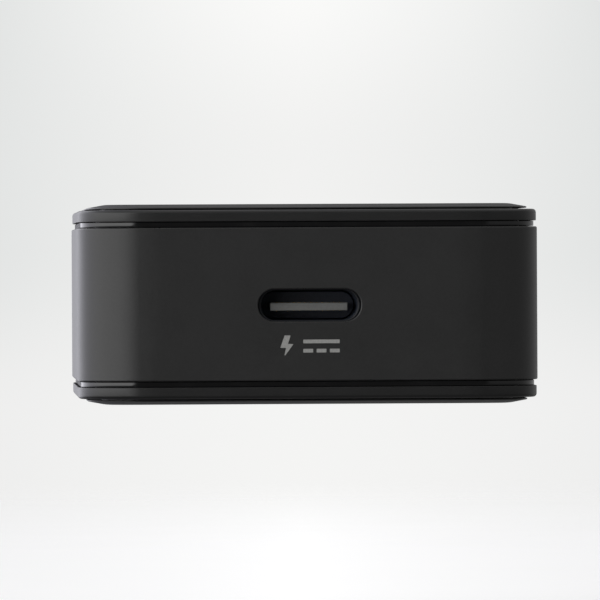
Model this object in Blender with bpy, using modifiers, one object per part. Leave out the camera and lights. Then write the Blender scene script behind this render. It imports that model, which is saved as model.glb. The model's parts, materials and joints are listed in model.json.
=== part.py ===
"""Slim usb wall charger with a folding two-blade plug.

Metres, +Z up. The body stands on its plug face at z = 0, the USB-C port faces -Y,
and the origin is the middle of the footprint. The plug turns about an axle along X.
"""
import math

import bmesh
import bpy
from mathutils import Matrix, Vector

# Casing
BODY_WIDTH = 0.0400
BODY_DEPTH = 0.0480
BODY_HEIGHT = 0.0173
CORNER_REACH = 0.0073
CORNER_STEPS = 14
CORNER_FULLNESS = 0.63
SLEEVE_WALL = 0.0014
RIM_HEIGHT = 0.0010
RIM_INSET = 0.00008
RIM_ROUNDING = 0.0003
GROOVE_HEIGHT = 0.00052
GROOVE_DEPTH = 0.0003
SPIGOT_DEPTH = 0.0012
SPIGOT_WALL = 0.0010
COVER_WALL = 0.00135
PLATE_INSET = 0.0009
PLATE_EDGE = 0.00012
PLATE_RISE = 0.00028
PLATE_RUN = 0.0015
PLATE_FOOT_INSET = 0.00215
PLATE_POCKET_DEPTH = 0.00045
ADHESIVE_THICKNESS = 0.0001
ADHESIVE_INSET = 0.0026

# Clearances
SEAM = 0.0001
FINE_SEAM = 0.00005
SLIDE_FIT = 0.00015
GAP = 0.0003
OVERCUT = 0.002

# USB-C port
PORT_WIDTH = 0.0089
PORT_HEIGHT = 0.00285
PORT_DROP = 0.0001
PORT_SKIN = 0.0006
SHELL_INSIDE_WIDTH = 0.00834
SHELL_INSIDE_HEIGHT = 0.00256
SHELL_THICKNESS = 0.0003
SHELL_LENGTH = 0.0073
TONGUE_WIDTH = 0.00669
TONGUE_THICKNESS = 0.0007
TONGUE_SETBACK = 0.0009
TONGUE_DROP = 0.00013
TONGUE_BLOCK_DEPTH = 0.0015
TERMINAL_COUNT = 12
TERMINAL_PITCH = 0.0005
TERMINAL_WIDTH = 0.00025
TERMINAL_THICKNESS = 0.00012

# Folding plug
BLADE_SPACING = 0.0127
BLADE_WIDTH = 0.00635
BLADE_THICKNESS = 0.00152
BLADE_PROUD = 0.0165
BLADE_HOLE_RADIUS = 0.0016
BLADE_HOLE_FROM_FACE = 0.0119
BLADE_TIP_CHAMFER = 0.0015
BLADE_SLOT_CLEARANCE = 0.00044
BLADE_END_CLEARANCE = 0.0005
PIVOT_HEIGHT = 0.0036
PIVOT_FROM_BACK = 0.0076
CARRIER_HALF = 0.0030
CARRIER_ROUNDING = 0.0012
CARRIER_POCKET_RADIUS = 0.0039
KEY_SIDE = 0.0024
AXLE_RADIUS = 0.0012
AXLE_CLEARANCE = 0.0001
BAY_WALL = 0.0008
BAY_POCKET_HALF_WIDTH = 0.0091
BAY_ROOF = 0.0010
SCOOP_DEPTH = 0.0035
SCOOP_LENGTH = 0.0064
SCOOP_ROUNDING = 0.0019
SCOOP_MARGIN = 0.0004
SCOOP_AHEAD_OF_TIP = 0.0003
RETAINER_THICKNESS = 0.0007
SCREW_RADIUS = 0.0006
SCREW_HEAD_RADIUS = 0.0012
SCREW_HEAD_HEIGHT = 0.00035
SCREW_LENGTH = 0.0035
SCREW_SPACING = 0.0064
SCREW_EDGE = 0.0019
SPRING_THICKNESS = 0.0002
SPRING_WIDTH = 0.0050
CONTACT_WIDTH = 0.0022
CONTACT_THICKNESS = 0.00025

# Electronics
BOARD_THICKNESS = 0.0010
BULK_RADIUS = 0.00395
BULK_LENGTH = 0.0200
BULK_BUNG_LENGTH = 0.0016
CORE_WIDTH = 0.0118
CORE_LENGTH = 0.0122
CORE_HEIGHT = 0.0056
CORE_TAPE_HEIGHT = 0.0039
CORE_LEG = 0.0040
CORE_SIDE_LEG = 0.0013
CORE_BACK = 0.0020
BOBBIN_WALL = 0.0005
WINDING_HEIGHT = 0.0108
OUTPUT_CAPACITOR_RADIUS = 0.00315
OUTPUT_CAPACITOR_HEIGHT = 0.0059
FUSE_RADIUS = 0.0018
FUSE_LENGTH = 0.0100
VARISTOR_RADIUS = 0.0024
VARISTOR_HEIGHT = 0.0034
INDUCTOR_RADIUS = 0.0024
INDUCTOR_HEIGHT = 0.0036
OPTOCOUPLER_SIZE = (0.0046, 0.0040, 0.0030)
SAFETY_CAPACITOR_SIZE = (0.0080, 0.0040, 0.0034)
FILTER_CAPACITOR_SIZE = (0.0090, 0.0044, 0.0034)
CONTROLLER_SIZE = (0.0050, 0.0060, 0.0010)
BRIDGE_SIZE = (0.0080, 0.0065, 0.0026)
OUTPUT_INDUCTOR_SIZE = (0.0060, 0.0060, 0.0045)
RECTIFIER_SIZE = (0.0050, 0.0040, 0.0015)
USB_CONTROLLER_SIZE = (0.0050, 0.0050, 0.0009)
CHOKE_RADIUS = 0.0043
CHOKE_BORE = 0.0021
CHOKE_HEIGHT = 0.0020
CHOKE_TURNS = 6
CHOKE_WIRE_RADIUS = 0.0002
FILM_THICKNESS = 0.0002
SPREADER_THICKNESS = 0.0004

# Levels that follow from the sizes above
RIM_TOP = BODY_HEIGHT - PLATE_EDGE - PLATE_RISE - SEAM
RIM_BOTTOM = RIM_TOP - RIM_HEIGHT
SLEEVE_TOP = RIM_BOTTOM - GROOVE_HEIGHT
SLEEVE_BOTTOM = BODY_HEIGHT - SLEEVE_TOP
CEILING = RIM_TOP - COVER_WALL
FLOOR = BODY_HEIGHT - CEILING
SPIGOT_INSET = SLEEVE_WALL + SLIDE_FIT
FRONT = -BODY_DEPTH / 2
BACK = BODY_DEPTH / 2
PORT_LEVEL = BODY_HEIGHT / 2 - PORT_DROP
PIVOT = Vector((0.0, BACK - PIVOT_FROM_BACK, PIVOT_HEIGHT))
BLADE_REACH = BLADE_PROUD + PIVOT_HEIGHT
BLADE_TIP = PIVOT.y - BLADE_REACH
BLADE_OFFSET = BLADE_SPACING / 2
SLOT_WIDTH = BLADE_THICKNESS + 2 * BLADE_SLOT_CLEARANCE
WINDOW_HALF_WIDTH = BLADE_OFFSET + SLOT_WIDTH / 2
POCKET_BACK = PIVOT.y + CARRIER_POCKET_RADIUS
POCKET_FRONT = PIVOT.y - CARRIER_POCKET_RADIUS
SLOT_FRONT = BLADE_TIP - BLADE_END_CLEARANCE
SLOT_ROOF = PIVOT.z + BLADE_WIDTH / 2 + BLADE_END_CLEARANCE
BAY_BOTTOM = FLOOR + GAP
BAY_TOP = SLOT_ROOF + BAY_ROOF
SCOOP_CENTRE = BLADE_TIP + SCOOP_AHEAD_OF_TIP
BAY_FRONT = SCOOP_CENTRE - SCOOP_LENGTH / 2 - GAP
BAY_BACK = POCKET_BACK + BAY_WALL
BAY_HALF_WIDTH = BAY_POCKET_HALF_WIDTH + BAY_WALL
RETAINER_BOTTOM = BAY_TOP + SEAM
RETAINER_TOP = RETAINER_BOTTOM + RETAINER_THICKNESS
SCREW_ROW = POCKET_FRONT - SCREW_EDGE
MAIN_BOARD_BOTTOM = RETAINER_TOP + SCREW_HEAD_HEIGHT + SEAM
MAIN_BOARD_TOP = MAIN_BOARD_BOTTOM + BOARD_THICKNESS
BOARD_HALF_WIDTH = BODY_WIDTH / 2 - SLEEVE_WALL - GAP
BOARD_BACK = BACK - SLEEVE_WALL - 2 * GAP
BULK_OFFSET = BAY_HALF_WIDTH + GAP + BULK_RADIUS + SEAM
BULK_LEVEL = FLOOR + GAP + BULK_RADIUS
BULK_FRONT = BLADE_TIP - BLADE_END_CLEARANCE
USB_BOARD_TOP = PORT_LEVEL - SHELL_INSIDE_HEIGHT / 2 - SHELL_THICKNESS - GAP
SHELL_FRONT = FRONT + PORT_SKIN + GAP
TRANSFORMER = Vector((
    -(SHELL_INSIDE_WIDTH / 2 + SHELL_THICKNESS + 3 * GAP + CORE_WIDTH / 2),
    BAY_FRONT - 3 * GAP - CORE_LENGTH / 2,
    (CEILING + FLOOR) / 2 - GAP))
# A turn of wire bows out by this ratio where it rounds the corners of the ring's section.
CORNER_BOW = math.pow(2.0, 0.25)
FILM_TOP = CEILING - SEAM
PARTS_LEVEL = MAIN_BOARD_TOP + GAP

PARTS = None
CUTTERS = None


def clear_scene():
    for thing in list(bpy.data.objects):
        bpy.data.objects.remove(thing, do_unlink=True)


def new_collection(name):
    collection = bpy.data.collections.new(name)
    bpy.context.scene.collection.children.link(collection)
    return collection


def material(name, colour, roughness, metallic=0.0):
    found = bpy.data.materials.get(name)
    if found:
        return found
    surface = bpy.data.materials.new(name)
    surface.use_nodes = True
    shader = surface.node_tree.nodes["Principled BSDF"]
    shader.inputs["Base Color"].default_value = (*colour, 1.0)
    shader.inputs["Roughness"].default_value = roughness
    shader.inputs["Metallic"].default_value = metallic
    surface.diffuse_color = (*colour, 1.0)
    return surface


def matte_black():
    return material("matte black polycarbonate", (0.026, 0.026, 0.027), 0.48)


def gloss_black():
    return material("gloss black polycarbonate", (0.012, 0.012, 0.013), 0.12)


def carrier_black():
    return material("black nylon", (0.020, 0.020, 0.021), 0.40)


def plated_brass():
    return material("nickel plated brass", (0.66, 0.64, 0.60), 0.22, 1.0)


def spring_steel():
    return material("spring steel", (0.50, 0.50, 0.51), 0.30, 1.0)


def dark_nickel():
    return material("black nickel", (0.060, 0.062, 0.068), 0.30, 1.0)


def grey_polymer():
    return material("grey liquid crystal polymer", (0.075, 0.077, 0.074), 0.45)


def gold_plate():
    return material("gold plated copper", (0.72, 0.52, 0.22), 0.25, 1.0)


def board_green():
    return material("green solder mask", (0.016, 0.095, 0.045), 0.40)


def copper_wire():
    return material("enamelled copper", (0.45, 0.16, 0.06), 0.32, 1.0)


def ferrite_grey():
    return material("ferrite", (0.055, 0.055, 0.060), 0.62)


def yellow_tape():
    return material("yellow polyester tape", (0.72, 0.50, 0.05), 0.45)


def bobbin_black():
    return material("phenolic", (0.030, 0.026, 0.022), 0.52)


def capacitor_sleeve():
    return material("dark shrink sleeve", (0.030, 0.036, 0.060), 0.35)


def bung_rubber():
    return material("black rubber", (0.022, 0.022, 0.022), 0.70)


def bare_aluminium():
    return material("bare aluminium", (0.70, 0.71, 0.73), 0.30, 1.0)


def chip_epoxy():
    return material("chip epoxy", (0.022, 0.022, 0.024), 0.42)


def blue_ceramic():
    return material("blue disc ceramic", (0.080, 0.200, 0.420), 0.38)


def film_white():
    return material("white polyester film", (0.72, 0.72, 0.70), 0.50)


def grey_adhesive():
    return material("grey adhesive", (0.30, 0.30, 0.29), 0.75)


def box_yellow():
    return material("yellow film capacitor case", (0.66, 0.47, 0.06), 0.40)


def place(name, form, centre, surface):
    """Turn a bmesh into an object: a part when it has a material, a cutter when not."""
    mesh = bpy.data.meshes.new(name)
    form.to_mesh(mesh)
    form.free()
    thing = bpy.data.objects.new(name, mesh)
    thing.location = centre
    if surface is None:
        CUTTERS.objects.link(thing)
        thing.hide_render = True
        thing.display_type = "WIRE"
        return thing
    mesh.materials.append(surface)
    mesh.shade_smooth()
    mesh.set_sharp_from_angle(angle=math.radians(32))
    PARTS.objects.link(thing)
    return thing


def block_form(size, radius=0.0, axis=2, steps=4, fullness=0.5):
    """A cube with its edges along one axis rounded: at 0.5 by arcs, and above it fuller."""
    form = bmesh.new()
    bmesh.ops.create_cube(form, size=1.0)
    bmesh.ops.scale(form, vec=size, verts=form.verts)
    if radius > 0.0:
        along = [edge for edge in form.edges
                 if abs(edge.verts[0].co[axis] - edge.verts[1].co[axis]) > size[axis] / 2]
        bmesh.ops.bevel(form, geom=along, offset=radius, segments=steps, profile=fullness,
                        affect="EDGES")
    return form


def block(name, size, centre, surface=None, radius=0.0, axis=2, steps=4, fullness=0.5):
    return place(name, block_form(size, radius, axis, steps, fullness), centre, surface)


def span(low, high):
    """The size and centre of a box from its two corners."""
    size = [high[i] - low[i] for i in range(3)]
    centre = [(high[i] + low[i]) / 2 for i in range(3)]
    return size, centre


def box_between(name, low, high, surface=None, radius=0.0, axis=2, steps=4, fullness=0.5):
    size, centre = span(low, high)
    return block(name, size, centre, surface, radius, axis, steps, fullness)


def slab(name, inset, low, high, surface=None):
    """A slab with the body's outline drawn in by an inset, between two levels."""
    size = (BODY_WIDTH - 2 * inset, BODY_DEPTH - 2 * inset, high - low)
    return block(name, size, (0.0, 0.0, (low + high) / 2), surface,
                 CORNER_REACH - inset, 2, CORNER_STEPS, CORNER_FULLNESS)


def cylinder(name, radius, length, centre, axis, surface=None, sides=24, rounding=0.0):
    """A cylinder along X, Y or Z, with its end edges rounded when asked."""
    form = bmesh.new()
    bmesh.ops.create_cone(form, cap_ends=True, segments=sides, radius1=radius,
                          radius2=radius, depth=length)
    if rounding > 0.0:
        rims = [edge for edge in form.edges
                if abs(edge.verts[0].co.z - edge.verts[1].co.z) < length / 2]
        bmesh.ops.bevel(form, geom=rims, offset=rounding, segments=2, profile=0.5,
                        affect="EDGES")
    turn = {"X": Matrix.Rotation(math.pi / 2, 3, "Y"),
            "Y": Matrix.Rotation(math.pi / 2, 3, "X"),
            "Z": Matrix.Identity(3)}[axis]
    bmesh.ops.rotate(form, cent=(0.0, 0.0, 0.0), matrix=turn, verts=form.verts)
    return place(name, form, centre, surface)


def combine(target, tool, operation):
    change = target.modifiers.new(tool.name, "BOOLEAN")
    change.operation = operation
    change.solver = "EXACT"
    change.object = tool


def cut(target, tool):
    combine(target, tool, "DIFFERENCE")


def join(target, tool):
    combine(target, tool, "UNION")


def outline_strip(name, points, width, location, surface):
    """A flat outline in the YZ plane, given as (y, z) points, extruded along X."""
    curve = bpy.data.curves.new(name + " outline", "CURVE")
    curve.dimensions = "2D"
    curve.fill_mode = "BOTH"
    curve.extrude = width / 2
    line = curve.splines.new("POLY")
    line.points.add(len(points) - 1)
    for spot, (across, up) in zip(line.points, points):
        spot.co = (across, up, 0.0, 1.0)
    line.use_cyclic_u = True
    draft = bpy.data.objects.new(name + " outline", curve)
    PARTS.objects.link(draft)
    bpy.context.view_layer.update()
    ready = draft.evaluated_get(bpy.context.evaluated_depsgraph_get())
    form = bmesh.new()
    form.from_mesh(bpy.data.meshes.new_from_object(ready))
    bmesh.ops.remove_doubles(form, verts=form.verts, dist=0.000001)
    bmesh.ops.recalc_face_normals(form, faces=form.faces)
    upright = Matrix(((0.0, 0.0, 1.0), (1.0, 0.0, 0.0), (0.0, 1.0, 0.0)))
    bmesh.ops.rotate(form, cent=(0.0, 0.0, 0.0), matrix=upright, verts=form.verts)
    bpy.data.objects.remove(draft, do_unlink=True)
    return place(name, form, location, surface)


def mirrored(low, high, side):
    """The two levels of a piece of the top half, or their mirror in the bottom half."""
    if side == "top":
        return low, high
    return BODY_HEIGHT - high, BODY_HEIGHT - low


# Casing

def port_cutters():
    """The stadium hole through the front wall and the relief behind it for the socket."""
    hole = block("port_hole", (PORT_WIDTH, SLEEVE_WALL + 2 * OVERCUT, PORT_HEIGHT),
                 (0.0, FRONT + SLEEVE_WALL / 2, PORT_LEVEL), None,
                 PORT_HEIGHT * 0.499, 1, 8)
    relief_width = SHELL_INSIDE_WIDTH + 2 * SHELL_THICKNESS + 2 * GAP
    relief_height = SHELL_INSIDE_HEIGHT + 2 * SHELL_THICKNESS + 2 * GAP
    relief = block("port_relief", (relief_width, SLEEVE_WALL, relief_height),
                   (0.0, FRONT + PORT_SKIN + SLEEVE_WALL / 2, PORT_LEVEL), None,
                   relief_height * 0.499, 1, 8)
    return hole, relief


def sleeve():
    body = slab("sleeve", 0.0, SLEEVE_BOTTOM, SLEEVE_TOP, matte_black())
    cut(body, slab("sleeve_bore", SLEEVE_WALL, -OVERCUT, BODY_HEIGHT + OVERCUT))
    for tool in port_cutters():
        cut(body, tool)


def trim_ring(side):
    low, high = mirrored(SLEEVE_TOP + FINE_SEAM, RIM_BOTTOM - FINE_SEAM, side)
    ring = slab(side + "_trim_ring", GROOVE_DEPTH, low, high, gloss_black())
    cut(ring, slab(side + "_ring_bore", SLEEVE_WALL, low - OVERCUT, high + OVERCUT))


def cover(side):
    """A shallow tray: a rim that shows, a spigot inside the sleeve, a pocket for the plate."""
    low, high = mirrored(RIM_BOTTOM, RIM_TOP, side)
    tray = slab(side + "_cover", RIM_INSET, low, high, matte_black())
    form = bmesh.new()
    form.from_mesh(tray.data)
    outer = max if side == "top" else min
    level = outer(vert.co.z for vert in form.verts)
    rim = [edge for edge in form.edges
           if all(abs(vert.co.z - level) < FINE_SEAM for vert in edge.verts)]
    bmesh.ops.bevel(form, geom=rim, offset=RIM_ROUNDING, segments=2, profile=0.5,
                    affect="EDGES")
    form.to_mesh(tray.data)
    form.free()
    low, high = mirrored(RIM_BOTTOM - GROOVE_HEIGHT - SPIGOT_DEPTH,
                         RIM_TOP - COVER_WALL / 2, side)
    join(tray, slab(side + "_spigot", SPIGOT_INSET, low, high))
    low, high = mirrored(BODY_HEIGHT / 2, CEILING, side)
    cut(tray, slab(side + "_cover_hollow", SPIGOT_INSET + SPIGOT_WALL, low, high))
    low, high = mirrored(RIM_TOP - PLATE_POCKET_DEPTH, BODY_HEIGHT + OVERCUT, side)
    cut(tray, slab(side + "_plate_pocket", PLATE_FOOT_INSET - SLIDE_FIT, low, high))
    return tray


def plate(side):
    """An inset slab with a long shallow bevel, on a foot that sits in the cover's pocket."""
    low, high = mirrored(RIM_TOP + SEAM, BODY_HEIGHT, side)
    lid = slab(side + "_plate", PLATE_INSET, low, high, matte_black())
    form = bmesh.new()
    form.from_mesh(lid.data)
    form.faces.ensure_lookup_table()
    upward = 1.0 if side == "top" else -1.0
    face = max(form.faces, key=lambda each: each.calc_center_median().z * upward)
    rim = list(face.verts)
    bmesh.ops.inset_region(form, faces=[face], thickness=PLATE_RUN, depth=0.0)
    for vert in rim:
        vert.co.z -= PLATE_RISE * upward
    form.to_mesh(lid.data)
    form.free()
    low, high = mirrored(RIM_TOP - PLATE_POCKET_DEPTH + ADHESIVE_THICKNESS + 2 * FINE_SEAM,
                         RIM_TOP + SEAM + PLATE_EDGE, side)
    join(lid, slab(side + "_plate_foot", PLATE_FOOT_INSET, low, high))
    return lid


def plate_adhesive(side):
    low, high = mirrored(RIM_TOP - PLATE_POCKET_DEPTH + FINE_SEAM,
                         RIM_TOP - PLATE_POCKET_DEPTH + FINE_SEAM + ADHESIVE_THICKNESS, side)
    return slab(side + "_plate_adhesive", ADHESIVE_INSET, low, high, grey_adhesive())


def plug_window(name, clearance):
    """The opening for the plug through the bottom: a cross window and two long slots."""
    top = BAY_BOTTOM + OVERCUT
    window = box_between(name, (-WINDOW_HALF_WIDTH - clearance, POCKET_FRONT - clearance,
                                -OVERCUT),
                         (WINDOW_HALF_WIDTH + clearance, POCKET_BACK + clearance, top))
    for side in (-1, 1):
        centre = side * BLADE_OFFSET
        half = SLOT_WIDTH / 2 + clearance
        slot = box_between(name + ("_left" if side < 0 else "_right"),
                           (centre - half, SLOT_FRONT - clearance, -OVERCUT),
                           (centre + half, PIVOT.y, top))
        join(window, slot)
    return window


def scoop(side, name, clearance):
    """A soft hollow on the outer side of a blade's tip, for a fingertip."""
    inner = BLADE_OFFSET - SLOT_WIDTH / 2
    outer = BAY_HALF_WIDTH - SCOOP_MARGIN
    size = (outer - inner + 2 * clearance, SCOOP_LENGTH + 2 * clearance, 2 * SCOOP_DEPTH)
    hollow = block(name + ("_left" if side < 0 else "_right"), size,
                   (side * (outer + inner) / 2, SCOOP_CENTRE, 0.0))
    soft = hollow.modifiers.new("soft edges", "BEVEL")
    soft.width = SCOOP_ROUNDING
    soft.segments = 5
    soft.limit_method = "NONE"
    return hollow


def casing():
    sleeve()
    for side in ("top", "bottom"):
        trim_ring(side)
        tray = cover(side)
        lid = plate(side)
        glue = plate_adhesive(side)
        if side == "bottom":
            window = plug_window("plug_window", 0.0)
            cut(tray, window)
            cut(lid, window)
            cut(glue, plug_window("adhesive_window", GAP))
            for hand in (-1, 1):
                hollow = scoop(hand, "finger_scoop", 0.0)
                cut(tray, hollow)
                cut(lid, hollow)
                cut(glue, scoop(hand, "adhesive_scoop", GAP))


# Folding plug

def blade_outline():
    """Half-round heel about the pivot, straight edges and a chamfered tip."""
    half = BLADE_WIDTH / 2
    steps = 12
    heel = [(half * math.sin(math.pi * i / steps), half * math.cos(math.pi * i / steps))
            for i in range(steps + 1)]
    tip = [(-BLADE_REACH + BLADE_TIP_CHAMFER, -half),
           (-BLADE_REACH, -half + BLADE_TIP_CHAMFER),
           (-BLADE_REACH, half - BLADE_TIP_CHAMFER),
           (-BLADE_REACH + BLADE_TIP_CHAMFER, half)]
    return heel + tip


def blade(side, axle):
    """A flat plug blade with a square keyhole at its heel and a round hole near its tip."""
    centre = Vector((side * BLADE_OFFSET, PIVOT.y, PIVOT.z))
    name = "left_blade" if side < 0 else "right_blade"
    piece = outline_strip(name, blade_outline(), BLADE_THICKNESS, centre, plated_brass())
    keyhole = KEY_SIDE + 2 * AXLE_CLEARANCE
    cut(piece, block(name + "_keyhole", (BLADE_THICKNESS * 3, keyhole, keyhole), centre))
    hole_reach = PIVOT_HEIGHT + BLADE_HOLE_FROM_FACE
    cut(piece, cylinder(name + "_hole", BLADE_HOLE_RADIUS, BLADE_THICKNESS * 3,
                        centre - Vector((0.0, hole_reach, 0.0)), "X", None, 16))
    hold_to_axle(piece, axle)


def hold_to_axle(piece, axle):
    piece.parent = axle
    piece.matrix_parent_inverse = Matrix.Translation(-axle.location)


def blade_carrier(axle):
    """The moulded bar that carries both blades, square between them and round at its ends."""
    drum_half = BLADE_OFFSET - BLADE_THICKNESS / 2 - 2 * SEAM
    side = 2 * CARRIER_HALF
    drum = block("blade_carrier", (2 * drum_half, side, side), PIVOT, carrier_black(),
                 CARRIER_ROUNDING, 0, 4)
    key_half = BAY_POCKET_HALF_WIDTH - GAP
    join(drum, block("carrier_key", (2 * key_half, KEY_SIDE, KEY_SIDE), PIVOT))
    stub_half = BAY_HALF_WIDTH
    join(drum, cylinder("carrier_axle", AXLE_RADIUS, 2 * stub_half, PIVOT, "X", None, 20))
    hold_to_axle(drum, axle)


def screw_places():
    return [("left", Vector((-SCREW_SPACING / 2, SCREW_ROW, 0.0))),
            ("right", Vector((SCREW_SPACING / 2, SCREW_ROW, 0.0)))]


def plug_bay():
    """The moulded tray that the blades stow in, shut off from the electronics."""
    bay = box_between("plug_bay", (-BAY_HALF_WIDTH, BAY_FRONT, BAY_BOTTOM),
                      (BAY_HALF_WIDTH, BAY_BACK, BAY_TOP), carrier_black(), BAY_WALL, 2, 3)
    pocket = box_between("carrier_pocket",
                         (-BAY_POCKET_HALF_WIDTH, POCKET_FRONT, -OVERCUT),
                         (BAY_POCKET_HALF_WIDTH, POCKET_BACK, BAY_TOP + OVERCUT))
    cut(bay, pocket)
    for side in (-1, 1):
        name = "left" if side < 0 else "right"
        low = (side * BLADE_OFFSET - SLOT_WIDTH / 2, SLOT_FRONT, -OVERCUT)
        high = (side * BLADE_OFFSET + SLOT_WIDTH / 2, PIVOT.y, SLOT_ROOF)
        cut(bay, box_between(name + "_blade_slot", low, high))
        cut(bay, scoop(side, "bay_scoop", 0.0))
    axle_room = AXLE_RADIUS + AXLE_CLEARANCE
    cut(bay, box_between("axle_notch",
                         (-BAY_HALF_WIDTH - OVERCUT, PIVOT.y - axle_room, PIVOT.z),
                         (BAY_HALF_WIDTH + OVERCUT, PIVOT.y + axle_room, BAY_TOP + OVERCUT)))
    cut(bay, cylinder("axle_cradle", axle_room, 2 * (BAY_HALF_WIDTH + OVERCUT), PIVOT,
                      "X", None, 24))
    core_half = BLADE_OFFSET - SLOT_WIDTH / 2 - BAY_WALL
    cut(bay, box_between("bay_core",
                         (-core_half, BAY_FRONT + BAY_WALL,
                          BAY_BOTTOM + BAY_WALL),
                         (core_half, SCREW_ROW - SCREW_HEAD_RADIUS - BAY_WALL,
                          BAY_TOP + OVERCUT)))
    for name, spot in screw_places():
        cut(bay, cylinder(name + "_screw_hole", SCREW_RADIUS + SEAM, 2 * SCREW_LENGTH + GAP,
                          spot + Vector((0.0, 0.0, BAY_TOP)), "Z", None, 12))


def carrier_retainer():
    """The plate over the bay: its legs close the axle notches, its slots pass the contacts."""
    half = BAY_HALF_WIDTH - SEAM
    front = SCREW_ROW - SCREW_HEAD_RADIUS - GAP
    holder = box_between("carrier_retainer", (-half, front, RETAINER_BOTTOM),
                         (half, BAY_BACK - SEAM, RETAINER_TOP), carrier_black(), BAY_WALL)
    leg_thickness = BAY_WALL - 2 * SEAM
    leg_half = AXLE_RADIUS
    for side in (-1, 1):
        middle = side * (BAY_POCKET_HALF_WIDTH + BAY_WALL / 2)
        name = "left" if side < 0 else "right"
        low = (middle - leg_thickness / 2, PIVOT.y - leg_half,
               PIVOT.z + AXLE_RADIUS + AXLE_CLEARANCE)
        high = (middle + leg_thickness / 2, PIVOT.y + leg_half,
                RETAINER_BOTTOM + RETAINER_THICKNESS / 2)
        join(holder, box_between(name + "_retainer_leg", low, high))
        cut(holder, box_between(name + "_contact_slot", *contact_box(side, SEAM, OVERCUT)))
    for name, spot in screw_places():
        cut(holder, cylinder(name + "_clearance_hole", SCREW_RADIUS + SEAM,
                             4 * RETAINER_THICKNESS,
                             spot + Vector((0.0, 0.0, RETAINER_TOP)), "Z", None, 12))


def contact_box(side, around=0.0, above=0.0):
    """The two corners of a contact strip beside a blade's heel, grown by a clearance."""
    inner = BLADE_OFFSET + BLADE_THICKNESS / 2 + GAP
    outer = inner + CONTACT_THICKNESS
    spans = sorted((side * (inner - around), side * (outer + around)))
    low = (spans[0], PIVOT.y - CONTACT_WIDTH / 2 - around,
           PIVOT.z + KEY_SIDE / 2 + 2 * GAP + CARRIER_ROUNDING / 4)
    high = (spans[1], PIVOT.y + CONTACT_WIDTH / 2 + around,
            MAIN_BOARD_BOTTOM - SEAM + above)
    return low, high


def blade_contact(side):
    name = "left_blade_contact" if side < 0 else "right_blade_contact"
    box_between(name, *contact_box(side), spring_steel())


def detent_spring():
    """A bowed leaf under the retainer, over the flat that holds the plug in or out."""
    reach = CARRIER_POCKET_RADIUS - 2 * GAP
    low = PIVOT.z + CARRIER_POCKET_RADIUS + SEAM
    bow = RETAINER_BOTTOM - SEAM - SPRING_THICKNESS - low
    steps = 10
    under = []
    for i in range(steps + 1):
        across = -1.0 + 2.0 * i / steps
        under.append((across * reach, low + bow * across * across))
    over = [(across, up + SPRING_THICKNESS) for across, up in reversed(under)]
    points = [(across, up - PIVOT.z) for across, up in under + over]
    outline_strip("detent_spring", points, SPRING_WIDTH, PIVOT, spring_steel())


def retainer_screws():
    for name, spot in screw_places():
        head = cylinder(name + "_retainer_screw", SCREW_HEAD_RADIUS, SCREW_HEAD_HEIGHT,
                        spot + Vector((0.0, 0.0, RETAINER_TOP + FINE_SEAM
                                       + SCREW_HEAD_HEIGHT / 2)),
                        "Z", spring_steel(), 16)
        shank = cylinder(name + "_screw_shank", SCREW_RADIUS, SCREW_LENGTH,
                         spot + Vector((0.0, 0.0, RETAINER_TOP + FINE_SEAM + SEAM
                                        - SCREW_LENGTH / 2)), "Z", None, 16)
        join(head, shank)


def folding_plug():
    axle = bpy.data.objects.new("plug_axle_axis", None)
    axle.location = PIVOT
    PARTS.objects.link(axle)
    blade_carrier(axle)
    for side in (-1, 1):
        blade(side, axle)
        blade_contact(side)
    plug_bay()
    carrier_retainer()
    detent_spring()
    retainer_screws()


# USB-C socket and its board

def usb_shell():
    outer = (SHELL_INSIDE_WIDTH + 2 * SHELL_THICKNESS, SHELL_LENGTH,
             SHELL_INSIDE_HEIGHT + 2 * SHELL_THICKNESS)
    centre = (0.0, SHELL_FRONT + SHELL_LENGTH / 2, PORT_LEVEL)
    shell = block("usb_shell", outer, centre, dark_nickel(), outer[2] * 0.499, 1, 6)
    inner = (SHELL_INSIDE_WIDTH, SHELL_LENGTH + 2 * OVERCUT, SHELL_INSIDE_HEIGHT)
    cut(shell, block("usb_shell_bore", inner, centre, None, inner[2] * 0.499, 1, 6))


def usb_tongue():
    """The tongue and the moulded block behind it, with a slot for each row of contacts."""
    rear = SHELL_FRONT + SHELL_LENGTH - SEAM
    half = SHELL_INSIDE_WIDTH / 2 - SEAM
    tall = SHELL_INSIDE_HEIGHT / 2 - SEAM
    body = box_between("usb_tongue", (-half, rear - TONGUE_BLOCK_DEPTH, PORT_LEVEL - tall),
                       (half, rear, PORT_LEVEL + tall), grey_polymer(), tall * 0.99, 1, 6)
    middle = PORT_LEVEL - TONGUE_DROP
    front = SHELL_FRONT + TONGUE_SETBACK
    join(body, box_between("tongue_bar",
                           (-TONGUE_WIDTH / 2, front, middle - TONGUE_THICKNESS / 2),
                           (TONGUE_WIDTH / 2, rear - SEAM, middle + TONGUE_THICKNESS / 2)))
    slot_half = TERMINAL_COUNT * TERMINAL_PITCH / 2 + FINE_SEAM
    for side in (-1, 1):
        near = middle + side * TONGUE_THICKNESS / 2
        far = near + side * (TERMINAL_THICKNESS + 2 * FINE_SEAM)
        low, high = sorted((near, far))
        cut(body, box_between("upper_slot" if side > 0 else "lower_slot",
                              (-slot_half, rear - TONGUE_BLOCK_DEPTH - OVERCUT, low),
                              (slot_half, rear + OVERCUT, high)))


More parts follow.
